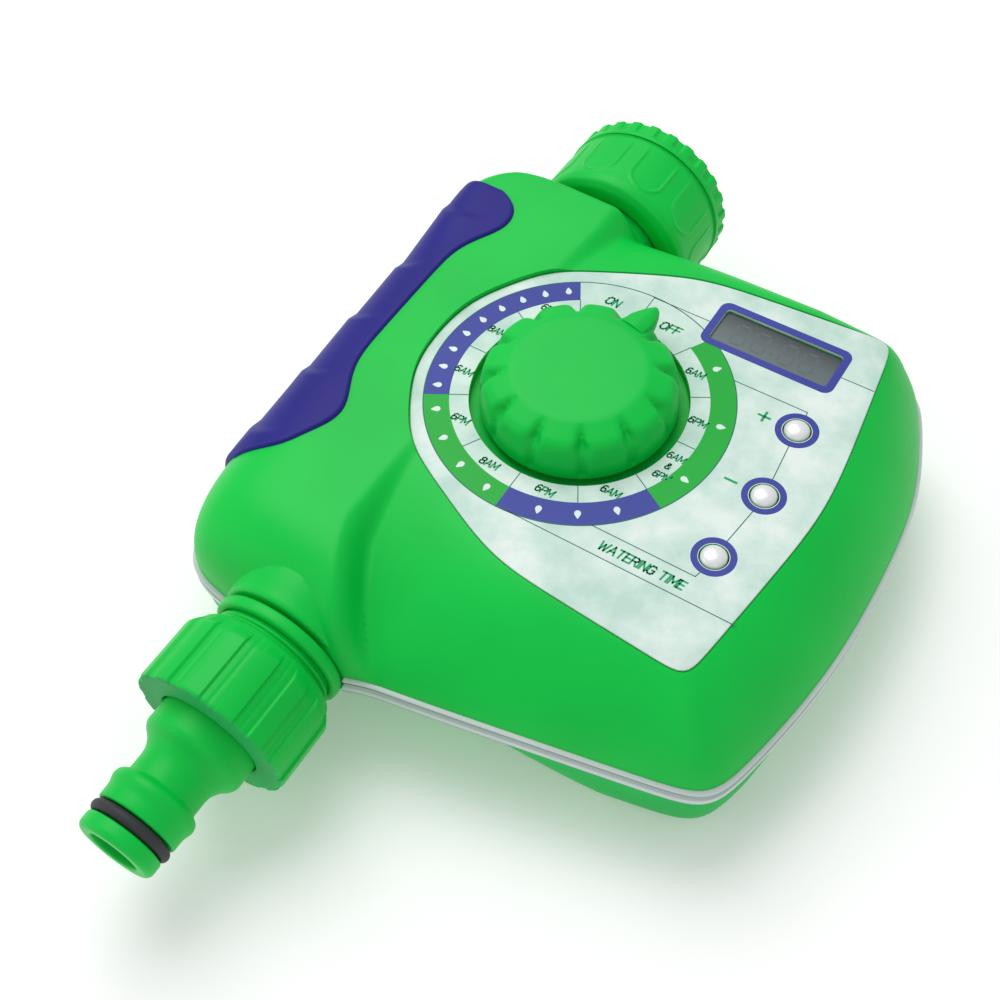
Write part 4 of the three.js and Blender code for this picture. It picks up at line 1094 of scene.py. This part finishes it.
def screw(name, x, y, low, radius, shank_top, head=1.6):
    """A pan-head screw whose head is at its low end, with a cross recess."""
    profile = [(AXIS_R, low), (radius - 0.5, low), (radius - 0.1, low + 0.3), (radius, low + 0.7),
               (radius, low + head), (SHANK_R, low + head), (SHANK_R, shank_top - 1),
               (0.3, shank_top), (AXIS_R, shank_top)]
    made = turned(name, profile, "z", (x, y, 0), STEEL, 48)
    for wide, deep in ((CROSS_ARM, CROSS_HALF), (CROSS_HALF, CROSS_ARM)):
        slot = rectangle(x - wide, x + wide, y - deep, y + deep)
        combine(made, prism("tool", slot, low - 1, low + 0.8, STEEL))
    return made


screws = []
for k, (x, y) in enumerate(SCREWS):
    screws.append(screw(f"shell_screw_{k + 1}", x, y, 0.9, 2.8, 27))
    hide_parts(f"housing_screw_{k + 1}")
screws.append(screw("hatch_screw", *COVER_SCREW, 0.4, 2.7, 9.6, 0.8))
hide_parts("cover_screw")


THUMB_GROOVES, THUMB_START, THUMB_PITCH, THUMB_X = 5, 20.0, 2.2, (26, 38)


def hatch():
    """The battery cover, with its screw's counterbore and five thumb grooves."""
    edge = rectangle(HATCH_X[0] + GAP, HATCH_X[1] - GAP, HATCH_Y[0] + GAP, HATCH_Y[1] - GAP, 1.8)
    plate = prism("hatch_cover", edge, 0.2, WALL, REAR_GREEN)
    combine(plate, cylinder("z", (*COVER_SCREW, 0), 3.0, -1, 1.4, 48))
    combine(plate, cylinder("z", (*COVER_SCREW, 0), 1.7, -1, 5, 32))
    for k in range(THUMB_GROOVES):
        y = THUMB_START + THUMB_PITCH * k
        groove = rectangle(*THUMB_X, y - 0.5, y + 0.5, 0.45)
        combine(plate, prism("tool", groove, -1, 0.7, REAR_GREEN))
    return plate


hatch_cover = hatch()
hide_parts("battery_cover")

# ---- bodies, slots and the inner CAD pieces -----------------------------------------------------
RIDES = {"housing": [shell_front, shell_rear, seal, well, pad, film, *prints, panel, ghost, outlet_pipe,
                     nipple, ring, *screws, hatch_cover],
         "dial_knob": [dial_knob, knob_pointer],
         "plus_key": [keys["plus"]], "minus_key": [keys["minus"]], "set_key": [keys["set"]],
         "outlet_swivel": [nut_outlet], "inlet_swivel": [nut_inlet, tap_collar]}
for body, members in RIDES.items():
    for member in members:
        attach(member, body)

FINISHES = {"green_plastic": GREEN, "seal": SEAL, "label": LABEL, "grip": BLUE, "steel": STEEL,
            "white_plastic": WHITE, "black_plastic": BLACK, "display_glass": DISPLAY,
            "button_metal": SILVER, "circuit_board": BOARD, "brass": BRASS, "rubber": RUBBER,
            "gear_plate": PLATE, "battery": BATTERY}
for part in frame["record"]["subparts"]:
    for slot in frame["nodes"][part["node"]].material_slots:
        slot.link = "OBJECT"
        slot.material = FINISHES[part["material_slot"]]

# ---- stage, light and camera --------------------------------------------------------------------
floor_mat = material("pale_floor", (0.95, 0.95, 0.95), 0.7, specular=0.1)
floor_glow = floor_mat.node_tree.nodes["Principled BSDF"].inputs
floor_glow["Emission Color"].default_value = (1, 1, 1, 1)
floor_glow["Emission Strength"].default_value = 0.14
bpy.ops.mesh.primitive_plane_add(size=16, location=(0, 0, cad_box[0].z - 0.0002))
floor = bpy.context.object
floor.name = "floor"
floor.data.materials.append(floor_mat)


AIM = Vector((0, -0.02, 0.02))


def soft_light(name, place, size, power):
    """A square area light that faces the object."""
    lamp = bpy.data.lights.new(name, "AREA")
    lamp.shape, lamp.size, lamp.energy = "SQUARE", size, power
    holder = bpy.data.objects.new(name, lamp)
    holder.location = place
    holder.rotation_euler = (AIM - Vector(place)).to_track_quat("-Z", "Y").to_euler()
    bpy.context.scene.collection.objects.link(holder)


soft_light("key", (-0.35, 0.25, 0.85), 0.7, 5.2)
soft_light("fill", (0.55, -0.75, 0.55), 0.9, 0.8)
soft_light("rim", (-0.6, -0.5, 0.35), 0.6, 0.8)

world = bpy.data.worlds.new("studio")
bpy.context.scene.world = world
world.use_nodes = True
world.node_tree.nodes["Background"].inputs["Color"].default_value = (1, 1, 1, 1)
world.node_tree.nodes["Background"].inputs["Strength"].default_value = 0.5
bpy.context.scene.view_settings.view_transform = "Standard"

AZIMUTH, ELEVATION, ROLL = math.radians(35.23), math.radians(54.82), math.radians(-3.35)
LOOK_AT, DISTANCE = Vector((0.0001, -0.0289, 0.039)), 0.2546
SENSOR, FOCAL = 36, 49.55
back = Vector((math.sin(AZIMUTH) * math.cos(ELEVATION), -math.cos(AZIMUTH) * math.cos(ELEVATION),
               math.sin(ELEVATION)))
right = (-back).cross(Vector((0, 0, 1))).normalized()
up = right.cross(-back)
across = math.cos(ROLL) * right + math.sin(ROLL) * up
upward = -math.sin(ROLL) * right + math.cos(ROLL) * up
lens = bpy.data.cameras.new("camera")
lens.sensor_width, lens.lens = SENSOR, FOCAL
lens.clip_start, lens.clip_end = 0.01, 20
camera = bpy.data.objects.new("camera", lens)
camera.location = LOOK_AT + back * DISTANCE
camera.rotation_mode = "QUATERNION"
camera.rotation_quaternion = Matrix((across, upward, back)).transposed().to_quaternion()
bpy.context.scene.collection.objects.link(camera)
bpy.context.scene.camera = camera
